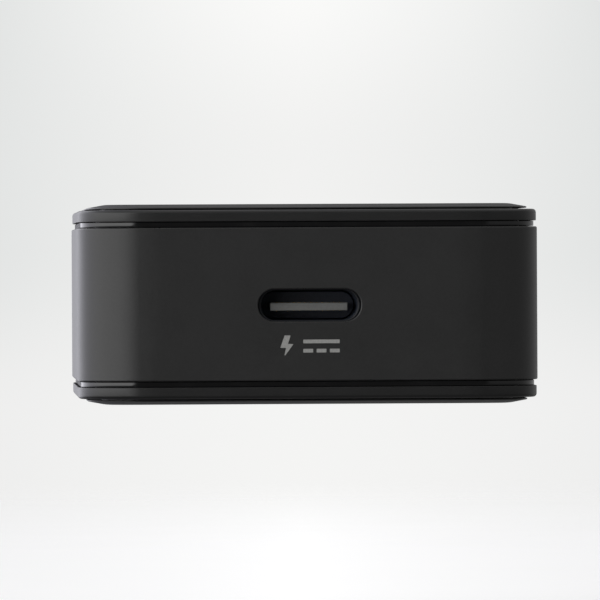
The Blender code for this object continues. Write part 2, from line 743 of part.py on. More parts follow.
def usb_terminals(side):
    """A row of contact strips along one face of the tongue, joined by their tail bar."""
    name = "upper_usb_contacts" if side > 0 else "lower_usb_contacts"
    middle = PORT_LEVEL - TONGUE_DROP
    near = middle + side * (TONGUE_THICKNESS / 2 + FINE_SEAM)
    low, high = sorted((near, near + side * TERMINAL_THICKNESS))
    rear = SHELL_FRONT + SHELL_LENGTH
    half = TERMINAL_COUNT * TERMINAL_PITCH / 2 - FINE_SEAM
    row = box_between(name, (-half, rear - 2 * SEAM, low), (half, rear + GAP, high),
                      gold_plate())
    teeth = bmesh.new()
    front = SHELL_FRONT + TONGUE_SETBACK + 2 * GAP
    size, centre = span((-TERMINAL_WIDTH / 2, front, low), (TERMINAL_WIDTH / 2, rear, high))
    for i in range(TERMINAL_COUNT):
        shift = (i - (TERMINAL_COUNT - 1) / 2) * TERMINAL_PITCH
        move = Matrix.Translation((centre[0] + shift, centre[1], centre[2]))
        bmesh.ops.create_cube(teeth, size=1.0, matrix=move @ Matrix.Diagonal((*size, 1.0)))
    join(row, place(name + "_strips", teeth, (0.0, 0.0, 0.0), None))


def usb_board():
    left = -(SHELL_INSIDE_WIDTH / 2 + SHELL_THICKNESS)
    box_between("usb_board", (left, FRONT + SLEEVE_WALL + GAP, USB_BOARD_TOP - BOARD_THICKNESS),
                (BOARD_HALF_WIDTH - GAP, BAY_FRONT - GAP, USB_BOARD_TOP), board_green(),
                CORNER_REACH - SLEEVE_WALL, 2, 5, CORNER_FULLNESS)
    level = USB_BOARD_TOP + GAP
    first = -left + GAP + OUTPUT_CAPACITOR_RADIUS + GAP
    row = FRONT + SPIGOT_INSET + SPIGOT_WALL + GAP + OUTPUT_CAPACITOR_RADIUS
    for i, name in enumerate(("inner_output_capacitor", "outer_output_capacitor")):
        cylinder(name, OUTPUT_CAPACITOR_RADIUS, OUTPUT_CAPACITOR_HEIGHT,
                 (first + i * (2 * OUTPUT_CAPACITOR_RADIUS + GAP), row,
                  level + OUTPUT_CAPACITOR_HEIGHT / 2), "Z", bare_aluminium(), 24, 2 * GAP)
    edge = row + OUTPUT_CAPACITOR_RADIUS + 2 * GAP
    column = first + RECTIFIER_SIZE[0] / 2 + 2 * GAP + OUTPUT_INDUCTOR_SIZE[0] / 2
    chip("sync_rectifier", RECTIFIER_SIZE, (first, edge + RECTIFIER_SIZE[1] / 2, level),
         chip_epoxy())
    chip("output_inductor", OUTPUT_INDUCTOR_SIZE,
         (column, edge + OUTPUT_INDUCTOR_SIZE[1] / 2, level), ferrite_grey())
    under = USB_BOARD_TOP - BOARD_THICKNESS - GAP - USB_CONTROLLER_SIZE[2]
    chip("usb_controller", USB_CONTROLLER_SIZE, (first, row, under), chip_epoxy())


def chip(name, size, foot, surface):
    """A moulded component standing on a point, with its upright edges rounded."""
    rounding = min(size[0], size[1]) * 0.08
    block(name, size, (foot[0], foot[1], foot[2] + size[2] / 2), surface, rounding, 2, 2)


# Power stage

def bulk_capacitors():
    for side in (-1, 1):
        name = "left" if side < 0 else "right"
        can = BULK_LENGTH - BULK_BUNG_LENGTH - SEAM
        spot = Vector((side * BULK_OFFSET, BULK_FRONT + can / 2, BULK_LEVEL))
        cylinder(name + "_bulk_capacitor", BULK_RADIUS, can, spot, "Y", capacitor_sleeve(),
                 28, 2 * GAP)
        bung = Vector((side * BULK_OFFSET, BULK_FRONT + BULK_LENGTH - BULK_BUNG_LENGTH / 2,
                       BULK_LEVEL))
        cylinder(name + "_capacitor_bung", BULK_RADIUS - 2 * GAP, BULK_BUNG_LENGTH, bung,
                 "Y", bung_rubber(), 20)


def main_board():
    """The power board: cut away over the bulk capacitors and ahead of the plug bay."""
    front = BAY_FRONT
    board = box_between("main_board", (-BOARD_HALF_WIDTH, front, MAIN_BOARD_BOTTOM),
                        (BOARD_HALF_WIDTH, BOARD_BACK, MAIN_BOARD_TOP), board_green(),
                        CORNER_REACH - SLEEVE_WALL - GAP, 2, 5, CORNER_FULLNESS)
    for side in (-1, 1):
        inner = side * (BULK_OFFSET - BULK_RADIUS - GAP)
        outer = side * (BOARD_HALF_WIDTH + OVERCUT)
        low, high = sorted((inner, outer))
        cut(board, box_between("board_notch_left" if side < 0 else "board_notch_right",
                               (low, BULK_FRONT - GAP, MAIN_BOARD_BOTTOM - OVERCUT),
                               (high, BULK_FRONT + BULK_LENGTH + GAP,
                                MAIN_BOARD_TOP + OVERCUT)))


def core_half(side):
    """One E-shaped half of the transformer's core, its three legs facing the other half."""
    name = "front_core_half" if side < 0 else "rear_core_half"
    seam = side * SEAM / 2
    far = side * CORE_LENGTH / 2
    low, high = sorted((seam, far))
    piece = box_between(name, TRANSFORMER + Vector((-CORE_WIDTH / 2, low, -CORE_HEIGHT / 2)),
                        TRANSFORMER + Vector((CORE_WIDTH / 2, high, CORE_HEIGHT / 2)),
                        ferrite_grey())
    depth = side * (CORE_LENGTH / 2 - CORE_BACK)
    low, high = sorted((-side * OVERCUT, depth))
    for hand in (-1, 1):
        edges = sorted((hand * CORE_LEG / 2, hand * (CORE_WIDTH / 2 - CORE_SIDE_LEG)))
        cut(piece, box_between(name + ("_left" if hand < 0 else "_right"),
                               TRANSFORMER + Vector((edges[0], low, -CORE_HEIGHT)),
                               TRANSFORMER + Vector((edges[1], high, CORE_HEIGHT))))


def around_leg(name, half_width, half_height, length, surface=None):
    size = (2 * half_width, length, 2 * half_height)
    return block(name, size, TRANSFORMER, surface, 2 * GAP if surface else 0.0, 1, 3)


def transformer():
    for side in (-1, 1):
        core_half(side)
    window = CORE_LENGTH - 2 * CORE_BACK - 2 * GAP
    flange_half = CORE_WIDTH / 2 - CORE_SIDE_LEG - GAP
    bore_half = CORE_LEG / 2 + GAP
    bore_tall = CORE_HEIGHT / 2 + GAP
    spool_half = bore_half + BOBBIN_WALL
    spool_tall = bore_tall + BOBBIN_WALL
    bobbin = around_leg("transformer_bobbin", flange_half, WINDING_HEIGHT / 2 + GAP, window,
                        bobbin_black())
    slot = window - 2 * BOBBIN_WALL
    groove = around_leg("winding_groove", flange_half + OVERCUT, WINDING_HEIGHT, slot)
    cut(groove, around_leg("spool_core", spool_half, spool_tall, slot + OVERCUT))
    cut(bobbin, groove)
    cut(bobbin, around_leg("bobbin_bore", bore_half, bore_tall, CORE_LENGTH))
    coil = around_leg("transformer_winding", flange_half - SEAM, WINDING_HEIGHT / 2,
                      slot - 2 * GAP, copper_wire())
    cut(coil, around_leg("winding_bore", spool_half + SEAM, spool_tall + SEAM, CORE_LENGTH))
    tape_gap = SEAM
    tape = block("core_tape", (CORE_WIDTH + 2 * (tape_gap + FILM_THICKNESS),
                               CORE_LENGTH + 2 * (tape_gap + FILM_THICKNESS),
                               CORE_TAPE_HEIGHT), TRANSFORMER, yellow_tape())
    cut(tape, block("tape_bore", (CORE_WIDTH + 2 * tape_gap, CORE_LENGTH + 2 * tape_gap,
                                  CORE_HEIGHT), TRANSFORMER))


def coil_points(turns, per_turn, first, sweep, ring_middle, ring_half, tall_half):
    """A wire wound round a ring: it climbs outside, crosses over, and drops inside."""
    points = []
    total = turns * per_turn
    for i in range(total + 1):
        turn = 2 * math.pi * i / per_turn
        along = first + sweep * i / total
        radius = ring_middle + ring_half * squared(math.cos(turn))
        points.append((radius * math.cos(along), radius * math.sin(along),
                       tall_half * squared(math.sin(turn))))
    return points


def squared(value):
    """Bends a circle towards a square, so that a turn of wire clears a square section."""
    return math.copysign(math.sqrt(abs(value)), value)


def wire(name, points, radius, location, surface):
    curve = bpy.data.curves.new(name, "CURVE")
    curve.dimensions = "3D"
    curve.bevel_depth = radius
    curve.bevel_resolution = 2
    curve.use_fill_caps = True
    line = curve.splines.new("POLY")
    line.points.add(len(points) - 1)
    for spot, place_at in zip(line.points, points):
        spot.co = (*place_at, 1.0)
    thing = bpy.data.objects.new(name, curve)
    thing.location = location
    curve.materials.append(surface)
    PARTS.objects.link(thing)


def turn_half(half_section):
    """Half the size of a turn of wire that clears a section of the given half size."""
    return (half_section + CHOKE_WIRE_RADIUS + SEAM) * CORNER_BOW


def mains_choke(centre):
    """A ferrite ring lying flat with one winding on each side."""
    ring = cylinder("choke_core", CHOKE_RADIUS, CHOKE_HEIGHT, centre, "Z", ferrite_grey(),
                    28)
    cut(ring, cylinder("choke_bore", CHOKE_BORE, 3 * CHOKE_HEIGHT, centre, "Z", None, 20))
    middle = (CHOKE_RADIUS + CHOKE_BORE) / 2
    half = turn_half((CHOKE_RADIUS - CHOKE_BORE) / 2)
    tall = turn_half(CHOKE_HEIGHT / 2)
    sweep = math.radians(100)
    for name, first in (("left_choke_winding", math.radians(130)),
                        ("right_choke_winding", math.radians(-50))):
        wire(name, coil_points(CHOKE_TURNS, 8, first, sweep, middle, half, tall),
             CHOKE_WIRE_RADIUS, centre, copper_wire())


def mains_rows():
    """The middles of the three rows of components, from the front edge of the board back."""
    first = BAY_FRONT + GAP + SAFETY_CAPACITOR_SIZE[1] / 2
    depth = max(FILTER_CAPACITOR_SIZE[1], CONTROLLER_SIZE[1])
    second = first + SAFETY_CAPACITOR_SIZE[1] / 2 + GAP + depth / 2
    ring_middle = (CHOKE_RADIUS + CHOKE_BORE) / 2
    choke_half = ring_middle + turn_half(CHOKE_RADIUS - ring_middle) + CHOKE_WIRE_RADIUS
    third = second + depth / 2 + GAP + choke_half
    return first, second, third


def mains_parts():
    level = PARTS_LEVEL
    first, second, third = mains_rows()
    left = -(CHOKE_RADIUS + GAP)
    right = BRIDGE_SIZE[0] / 2 + 3 * GAP
    chip("optocoupler", OPTOCOUPLER_SIZE, (left, first, level), chip_epoxy())
    chip("safety_capacitor", SAFETY_CAPACITOR_SIZE, (right, first, level), blue_ceramic())
    chip("filter_capacitor", FILTER_CAPACITOR_SIZE, (left, second, level), box_yellow())
    chip("switching_controller", CONTROLLER_SIZE, (right, second, level), chip_epoxy())
    chip("bridge_rectifier", BRIDGE_SIZE, (right, third, level), chip_epoxy())
    choke_level = level + turn_half(CHOKE_HEIGHT / 2) + CHOKE_WIRE_RADIUS
    mains_choke(Vector((left, third, choke_level)))
    widest = max(FUSE_RADIUS, VARISTOR_RADIUS, INDUCTOR_RADIUS)
    last = BACK - SPIGOT_INSET - SPIGOT_WALL - GAP - widest
    before_corner = BODY_WIDTH / 2 - CORNER_REACH
    cylinder("fuse", FUSE_RADIUS, FUSE_LENGTH, (0.0, last, level + FUSE_RADIUS), "X",
             bare_aluminium(), 20, GAP)
    cylinder("varistor", VARISTOR_RADIUS, VARISTOR_HEIGHT,
             (before_corner, last, level + VARISTOR_HEIGHT / 2), "Z", blue_ceramic(), 20,
             GAP)
    cylinder("input_inductor", INDUCTOR_RADIUS, INDUCTOR_HEIGHT,
             (-before_corner, last, level + INDUCTOR_HEIGHT / 2), "Z", bobbin_black(), 20,
             GAP)


def covers_inside():
    """The aluminium heat spreader over the board and the insulating film above it."""
    half = BODY_WIDTH / 2 - SPIGOT_INSET - SPIGOT_WALL - GAP
    deep = BODY_DEPTH / 2 - SPIGOT_INSET - SPIGOT_WALL - GAP
    reach = CORNER_REACH - SPIGOT_INSET - SPIGOT_WALL - GAP
    box_between("insulating_film", (-half, -deep, FILM_TOP - FILM_THICKNESS),
                (half, deep, FILM_TOP), film_white(), reach, 2, 5, CORNER_FULLNESS)
    top = FILM_TOP - FILM_THICKNESS - SEAM
    box_between("heat_spreader", (-half, BAY_FRONT, top - SPREADER_THICKNESS),
                (half, deep, top), bare_aluminium(), reach, 2, 5, CORNER_FULLNESS)


def electronics():
    usb_shell()
    usb_tongue()
    for side in (-1, 1):
        usb_terminals(side)
    usb_board()
    main_board()
    bulk_capacitors()
    transformer()
    mains_parts()
    covers_inside()


def main():
    global PARTS, CUTTERS
    clear_scene()
    PARTS = new_collection("usb wall charger")
    CUTTERS = new_collection("cutters")
    casing()
    folding_plug()
    electronics()


main()
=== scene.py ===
"""Slim usb wall charger with a folding two-blade plug: its pieces, finishes and stage.

Metres, +Z up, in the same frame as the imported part. The charger stands on its plug face,
the socket faces -Y and the plug turns about an axle along X.
"""

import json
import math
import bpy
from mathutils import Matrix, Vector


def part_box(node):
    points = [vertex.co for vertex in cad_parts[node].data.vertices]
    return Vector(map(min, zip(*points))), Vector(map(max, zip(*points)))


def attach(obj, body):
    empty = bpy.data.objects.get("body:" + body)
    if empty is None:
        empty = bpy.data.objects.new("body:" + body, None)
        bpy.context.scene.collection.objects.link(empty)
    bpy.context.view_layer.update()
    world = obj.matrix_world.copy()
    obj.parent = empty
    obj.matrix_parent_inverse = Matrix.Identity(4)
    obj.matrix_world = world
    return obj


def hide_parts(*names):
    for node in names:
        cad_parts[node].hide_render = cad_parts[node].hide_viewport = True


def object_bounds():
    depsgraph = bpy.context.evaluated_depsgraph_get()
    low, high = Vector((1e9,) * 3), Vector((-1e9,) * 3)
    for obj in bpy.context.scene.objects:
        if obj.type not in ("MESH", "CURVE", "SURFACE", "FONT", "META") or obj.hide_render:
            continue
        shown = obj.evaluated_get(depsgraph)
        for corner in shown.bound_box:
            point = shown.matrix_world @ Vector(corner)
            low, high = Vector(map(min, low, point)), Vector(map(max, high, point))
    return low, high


bl_info = {
    "name": "Slim wall charger",
    "version": (1, 0, 0),
    "blender": (4, 5, 0),
    "location": "3D View > Sidebar > Charger",
    "description": "Makes the pieces, finishes and studio of a slim usb wall charger",
    "category": "Object",
}

import bmesh
import bpy
from bpy.props import FloatProperty, FloatVectorProperty, PointerProperty
from mathutils import Matrix, Vector

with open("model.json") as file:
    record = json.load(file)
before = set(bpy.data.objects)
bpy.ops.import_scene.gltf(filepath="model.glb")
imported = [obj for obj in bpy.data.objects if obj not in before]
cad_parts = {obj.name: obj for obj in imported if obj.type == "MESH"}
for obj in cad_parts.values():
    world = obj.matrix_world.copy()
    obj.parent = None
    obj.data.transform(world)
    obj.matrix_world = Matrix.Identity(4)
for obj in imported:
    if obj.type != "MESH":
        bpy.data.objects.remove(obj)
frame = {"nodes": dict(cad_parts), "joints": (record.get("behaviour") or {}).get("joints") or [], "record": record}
cad_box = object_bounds()

BODY = "charger_body"
PLUG = "folding_plug"

# What the boxes of the nodes don't say, in metres
FINE_SEAM = 0.00005
SEAM = 0.0001
GAP = 0.0003
SLIDE_FIT = 0.00015
SLEEVE_WALL = 0.0014
SPIGOT_WALL = 0.0010
PLATE_FOOT_INSET = 0.00215
PLATE_EDGE = 0.00012
PLATE_RUN = 0.0015
PORT_SKIN = 0.0006
SOCKET_WALL = 0.0003
TONGUE_WIDTH = 0.00669
BLOCK_DEPTH = 0.0015
GLOW_REACH = 0.060
CONTACT_COUNT = 12
CONTACT_SETBACK = 0.0006
BLADE_SLOT_CLEARANCE = 0.00044
BLADE_END_CLEARANCE = 0.0005
CARRIER_HALF = 0.0030
CARRIER_POCKET_RADIUS = 0.0039
KEY_SIDE = 0.0024
AXLE_RADIUS = 0.0012
AXLE_CLEARANCE = 0.0001
BAY_WALL = 0.0008
SCOOP_LENGTH = 0.0064
SCOOP_DEPTH = 0.0035
SCOOP_MARGIN = 0.0004
SCOOP_AHEAD_OF_TIP = 0.0003
BLADE_HOLE_RADIUS = 0.0016
BLADE_HOLE_REACH = 0.0155
BLADE_TIP_CHAMFER = 0.0015
OVERCUT = 0.002

BODY_LOW, BODY_HIGH = cad_box
HEIGHT = BODY_HIGH.z
PIVOT = Vector(frame["joints"][0]["pos_m"])


# Settings

class ChargerShape(bpy.types.PropertyGroup):
    """Sizes that give the casing and the plug their outline and softness."""
    corner_reach: FloatProperty(
        name="Corner reach", description="How far a corner's curve runs along each side",
        default=0.0073, unit="LENGTH")
    corner_power: FloatProperty(
        name="Corner fullness", description="2 is a round corner, and more is squarer",
        default=3.0, min=2.0)
    sleeve_edge: FloatProperty(
        name="Sleeve edge", description="Rounding of the sleeve's two rims",
        default=0.00013, unit="LENGTH")
    cover_edge: FloatProperty(
        name="Cover edge", description="Rounding of the covers' outer edge",
        default=0.0003, unit="LENGTH")
    plate_edge: FloatProperty(
        name="Plate edge", description="Rounding of the plates' outer edge",
        default=0.00007, unit="LENGTH")
    plate_shoulder: FloatProperty(
        name="Plate shoulder", description="Radius where the bevel meets the flat",
        default=0.0030, unit="LENGTH")
    port_width: FloatProperty(
        name="Port width", description="Width of the opening for the socket",
        default=0.0089, unit="LENGTH")
    port_height: FloatProperty(
        name="Port height", description="Height of the opening for the socket",
        default=0.00282, unit="LENGTH")
    port_lip: FloatProperty(
        name="Port lip", description="Rounding of the opening's edge",
        default=0.00010, unit="LENGTH")
    window_lip: FloatProperty(
        name="Window lip", description="Rounding of the edges of the plug's window",
        default=0.00018, unit="LENGTH")
    blade_edge: FloatProperty(
        name="Blade edge", description="Rounding of the blades' long edges",
        default=0.00016, unit="LENGTH")
    mark_width: FloatProperty(
        name="Mark width", description="Width of the printed power mark",
        default=0.00515, unit="LENGTH")
    mark_height: FloatProperty(
        name="Mark height", description="Height of the printed power mark",
        default=0.00185, unit="LENGTH")
    mark_drop: FloatProperty(
        name="Mark drop", description="Distance of the mark below the middle of the port",
        default=0.00352, unit="LENGTH")


def colour_property(name, description, default):
    return FloatVectorProperty(name=name, description=description, default=default,
                               size=3, min=0.0, max=1.0, subtype="COLOR")


class ChargerColours(bpy.types.PropertyGroup):
    """Colours of the finishes that show from outside."""
    casing: colour_property("Casing", "Matte sleeve and plates",
                            (0.0128, 0.0128, 0.0128))
    covers: colour_property("Covers", "Matte rims of the two covers",
                            (0.0072, 0.0072, 0.0073))
    trim: colour_property("Trim", "Gloss rings in the two grooves",
                          (0.0012, 0.0012, 0.0014))
    moulding: colour_property("Moulding", "Plug bay and blade carrier",
                              (0.0110, 0.0110, 0.0115))
    ink: colour_property("Ink", "Printed power mark", (0.275, 0.275, 0.266))
    blade: colour_property("Blade", "Nickel plated plug blades", (0.66, 0.64, 0.60))
    shell: colour_property("Socket shell", "Dark blued socket shell",
                           (0.062, 0.074, 0.100))
    tongue: colour_property("Socket tongue", "Grey moulded tongue", (0.120, 0.122, 0.118))
    block: colour_property("Socket block", "Dark moulding that the tongue grows from",
                           (0.032, 0.039, 0.060))


class ChargerStage(bpy.types.PropertyGroup):
    """Camera, floor and light of the studio."""
    azimuth: FloatProperty(
        name="Azimuth", description="Camera's turn round the charger from its front",
        default=math.radians(-2.0), subtype="ANGLE")
    elevation: FloatProperty(
        name="Elevation", description="Camera's height as an angle",
        default=math.radians(0.2), subtype="ANGLE")
    roll: FloatProperty(
        name="Roll", description="Camera's turn about its own axis",
        default=math.radians(-0.28), subtype="ANGLE")
    distance: FloatProperty(
        name="Distance", description="From the camera to the charger's front",
        default=0.850, unit="LENGTH")
    view_width: FloatProperty(
        name="View width", description="Width that the picture takes in at the front",
        default=0.0517, unit="LENGTH")
    aim_side: FloatProperty(
        name="Aim, sideways", description="Where the camera aims, along X",
        default=-0.00083, unit="LENGTH")
    aim_level: FloatProperty(
        name="Aim, level", description="Where the camera aims, along Z",
        default=0.00900, unit="LENGTH")
    floor_drop: FloatProperty(
        name="Floor drop", description="How far the floor lies below the charger",
        default=0.021, unit="LENGTH")
    floor_radius: FloatProperty(
        name="Floor radius", description="Radius of the floor", default=0.66,
        unit="LENGTH")
    backdrop: colour_property("Backdrop", "Colour at the sides of the backdrop",
                              (0.770, 0.783, 0.777))
    backdrop_middle: colour_property("Backdrop middle", "Colour behind the charger",
                                     (0.880, 0.880, 0.872))
    left_light: FloatProperty(
        name="Left light", description="Strength of the large panel on the left",
        default=2.4, min=0.0)
    right_light: FloatProperty(
        name="Right light", description="Strength of the light on the right",
        default=0.34, min=0.0)
    front_light: FloatProperty(
        name="Front light", description="Strength of the light round the camera",
        default=0.13, min=0.0)
    top_light: FloatProperty(
        name="Top light", description="Strength of the soft light above", default=0.82,
        min=0.0)
    rear_light: FloatProperty(
        name="Rear light", description="Strength of the light behind", default=0.20,
        min=0.0)
    low_light: FloatProperty(
        name="Low light", description="Strength of the light from below", default=0.20,
        min=0.0)


def shape():
    return bpy.context.scene.charger_shape


def colours():
    return bpy.context.scene.charger_colours


def stage_settings():
    return bpy.context.scene.charger_stage


# Outlines and sections

def soft_outline(half_width, half_depth, reach, power, steps=22):
    """Points and outward normals, counter-clockwise, of a plan with full soft corners."""
    corner = []
    for i in range(steps + 1):
        facing = math.pi / 2 * i / steps
        if i == steps:
            along = math.pi / 2
        else:
            along = math.atan(math.tan(facing) ** (power / (2 * (power - 1))))
        corner.append((half_width - reach + reach * math.cos(along) ** (2 / power),
                       half_depth - reach + reach * math.sin(along) ** (2 / power),
                       math.cos(facing), math.sin(facing)))
    points = []
    for across, deep, order in ((1, 1, 1), (-1, 1, -1), (-1, -1, 1), (1, -1, -1)):
        for x, y, nx, ny in corner[::order]:
            points.append((Vector((across * x, deep * y)),
                           Vector((across * nx, deep * ny))))
    return points


def drawn_outline(points):
    """A counter-clockwise polygon, with the shift that moves both edges of a corner by 1."""
    outline = []
    for i, point in enumerate(points):
        here = Vector(point)
        before = (here - Vector(points[i - 1])).normalized()
        after = (Vector(points[(i + 1) % len(points)]) - here).normalized()
        first = Vector((before.y, -before.x))
        second = Vector((after.y, -after.x))
        outline.append((here, (first + second) / (1.0 + first.dot(second))))
    return outline


def rounded(points, radii, steps=5):
    """A polygon with each corner turned into an arc. One radius may serve for all."""
    if isinstance(radii, float):
        radii = [radii] * len(points)
    result = []
    for i, point in enumerate(points):
        here = Vector(point)
        if radii[i] <= 0.0:
            result.append(tuple(here))
            continue
        back = (Vector(points[i - 1]) - here).normalized()
        ahead = (Vector(points[(i + 1) % len(points)]) - here).normalized()
        half = back.angle(ahead) / 2
        centre = here + (back + ahead).normalized() * (radii[i] / math.sin(half))
        start = here + back * (radii[i] / math.tan(half)) - centre
        turn = start.angle_signed(here + ahead * (radii[i] / math.tan(half)) - centre)
        for step in range(steps + 1):
            result.append(tuple(centre + Matrix.Rotation(-turn * step / steps, 2)
                                @ start))
    return result


def rectangle(width, height, centre=(0.0, 0.0)):
    x, y = centre
    return [(x - width / 2, y - height / 2), (x + width / 2, y - height / 2),
            (x + width / 2, y + height / 2), (x - width / 2, y + height / 2)]


def stadium(width, height, centre=(0.0, 0.0), steps=12):
    return drawn_outline(rounded(rectangle(width, height, centre), height * 0.4999, steps))


def lipped(low, high, lip, steps=5):
    """The section of a cutter that leaves a rounded lip where it enters at low."""
    way = math.copysign(1.0, high - low)
    section = [(-lip, low - way * OVERCUT), (-lip, low - way * lip * 0.02)]
    for step in range(1, steps + 1):
        turn = math.pi / 2 * step / steps
        section.append((-lip * (1 - math.sin(turn)), low + way * lip * (1 - math.cos(turn))))
    return section + [(0.0, high)]


def softened(low, high, radius, steps=3):
    """The section of a solid whose two end edges are rounded."""
    section = []
    for end, way in ((low, 1.0), (high, -1.0)):
        arc = [(radius * (1 - math.sin(math.pi / 2 * step / steps)),
                end + way * radius * (1 - math.cos(math.pi / 2 * step / steps)))
               for step in range(steps + 1)]
        section += arc if way > 0 else arc[::-1]
    return section


LAYS = {
    "X": lambda point, level: (level, point.x, point.y),
    "Y": lambda point, level: (point.x, level, point.y),
    "Z": lambda point, level: (point.x, point.y, level),
}


def sweep(name, outline, section, lay="Z", closed=False):
    """A solid from an outline and a section of (inset, level) points carried round it."""
    form = bmesh.new()
    rings = [[form.verts.new(LAYS[lay](point - shift * inset, level))
              for point, shift in outline] for inset, level in section]
    pairs = list(zip(rings, rings[1:]))
    if closed:
        pairs.append((rings[-1], rings[0]))
    else:
        form.faces.new(rings[0])
        form.faces.new(rings[-1])
    for first, second in pairs:
        for i in range(len(outline)):
            j = (i + 1) % len(outline)
            form.faces.new((first[i], first[j], second[j], second[i]))
    bmesh.ops.remove_doubles(form, verts=form.verts, dist=1e-8)
    bmesh.ops.recalc_face_normals(form, faces=form.faces)
    mesh = bpy.data.meshes.new(name)
    form.to_mesh(mesh)
    form.free()
    piece = bpy.data.objects.new(name, mesh)
    bpy.context.scene.collection.objects.link(piece)
    return piece


def box_piece(name, low, high, radius=0.0, lay="Z"):
    """A box between two corners, its edges along one axis rounded when asked."""
    axis = "XYZ".index(lay)
    first, second = [i for i in range(3) if i != axis]
    drawn = rectangle(high[first] - low[first], high[second] - low[second],
                      ((high[first] + low[first]) / 2, (high[second] + low[second]) / 2))
    if radius > 0.0:
        drawn = rounded(drawn, radius)
    return sweep(name, drawn_outline(drawn), [(0.0, low[axis]), (0.0, high[axis])], lay)


def drum(name, radius, low, high, centre, lay="X", steps=32, soft=0.0):
    """A round bar along an axis about a point of the plane across it."""
    ring = [(centre[0] + radius * math.cos(2 * math.pi * i / steps),
             centre[1] + radius * math.sin(2 * math.pi * i / steps)) for i in range(steps)]
    section = softened(low, high, soft) if soft > 0.0 else [(0.0, low), (0.0, high)]
    return sweep(name, drawn_outline(ring), section, lay)


def settle(piece):
    """Replaces a piece's mesh with the result of its modifiers."""
    graph = bpy.context.evaluated_depsgraph_get()
    graph.update()
    mesh = bpy.data.meshes.new_from_object(piece.evaluated_get(graph),
                                           preserve_all_data_layers=True, depsgraph=graph)
    piece.modifiers.clear()
    old = piece.data
    piece.data = mesh
    mesh.name = piece.name
    bpy.data.meshes.remove(old)


def combine(piece, tools, operation="DIFFERENCE"):
    for tool in tools:
        change = piece.modifiers.new(tool.name, "BOOLEAN")
        change.operation = operation
        change.solver = "EXACT"
        change.object = tool
        settle(piece)
        bpy.data.objects.remove(tool, do_unlink=True)
    return piece


def merged(name, solids):
    """One piece from several that don't touch."""
    form = bmesh.new()
    for solid in solids:
        form.from_mesh(solid.data)
        bpy.data.objects.remove(solid, do_unlink=True)
    mesh = bpy.data.meshes.new(name)
    form.to_mesh(mesh)
    form.free()
    piece = bpy.data.objects.new(name, mesh)
    bpy.context.scene.collection.objects.link(piece)
    return piece


def mark_edges(mesh, tight=0.0004, sharp=0.7):
    """Stores on each face how tightly it bends: 0 on a flat, 1 on a small rounding."""
    form = bmesh.new()
    form.from_mesh(mesh)
    bends = []
    for face in form.faces:
        length = max(edge.calc_length() for edge in face.edges)
        turn = 0.0
        for edge in face.edges:
            if edge.is_manifold and edge.calc_face_angle() < sharp:
                turn += edge.calc_face_angle() * edge.calc_length() / length
        width = max(face.calc_area() / max(length, 1e-9), 1e-7)
        bends.append(min(1.0, turn / (2 * width) * tight))
    form.free()
    edge = mesh.attributes.new("edge", "FLOAT", "FACE")
    edge.data.foreach_set("value", bends)


def finish_piece(piece, surface, body, slot, *nodes, crease=38):
    """Shades a piece, gives it its finish, ties it to its body and hides the nodes it stands in for; the slot is
    not used.
    """
    mesh = piece.data
    form = bmesh.new()
    form.from_mesh(mesh)
    bmesh.ops.remove_doubles(form, verts=form.verts, dist=2e-7)
    bmesh.ops.dissolve_degenerate(form, edges=form.edges, dist=2e-7)
    form.to_mesh(mesh)
    form.free()
    mesh.shade_smooth()
    mesh.set_sharp_from_angle(angle=math.radians(crease))
    weigh = piece.modifiers.new("even shading", "WEIGHTED_NORMAL")
    weigh.keep_sharp = True
    weigh.weight = 80
    settle(piece)
    mark_edges(piece.data)
    piece.data.materials.clear()
    piece.data.materials.append(surface)
    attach(piece, body)
    if nodes:
        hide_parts(*nodes)
    return piece


# Finishes

def feed(entry, item):
    """Gives a socket a link or a value."""
    if isinstance(item, Signal):
        entry.id_data.links.new(item.socket, entry)
    elif item is not None:
        entry.default_value = item


class Signal:
    """A node's output, which adds, subtracts, multiplies and divides as a number does."""

    def __init__(self, socket):
        self.socket = socket

    def maths(self, operation, *items):
        node = self.socket.id_data.nodes.new("ShaderNodeMath")
        node.operation = operation
        for entry, item in zip(node.inputs, items):
            feed(entry, item)
        return Signal(node.outputs[0])

    def __add__(self, other):
        return self.maths("ADD", self, other)

    __radd__ = __add__

    def __mul__(self, other):
        return self.maths("MULTIPLY", self, other)

    __rmul__ = __mul__

    def __sub__(self, other):
        return self.maths("SUBTRACT", self, other)

    def __rsub__(self, other):
        return self.maths("SUBTRACT", other, self)

    def __truediv__(self, other):
        return self.maths("DIVIDE", self, other)

    def __pow__(self, other):
        return self.maths("POWER", self, other)

    def clamped(self, low=0.0, high=1.0):
        return self.maths("MINIMUM", self.maths("MAXIMUM", self, low), high)


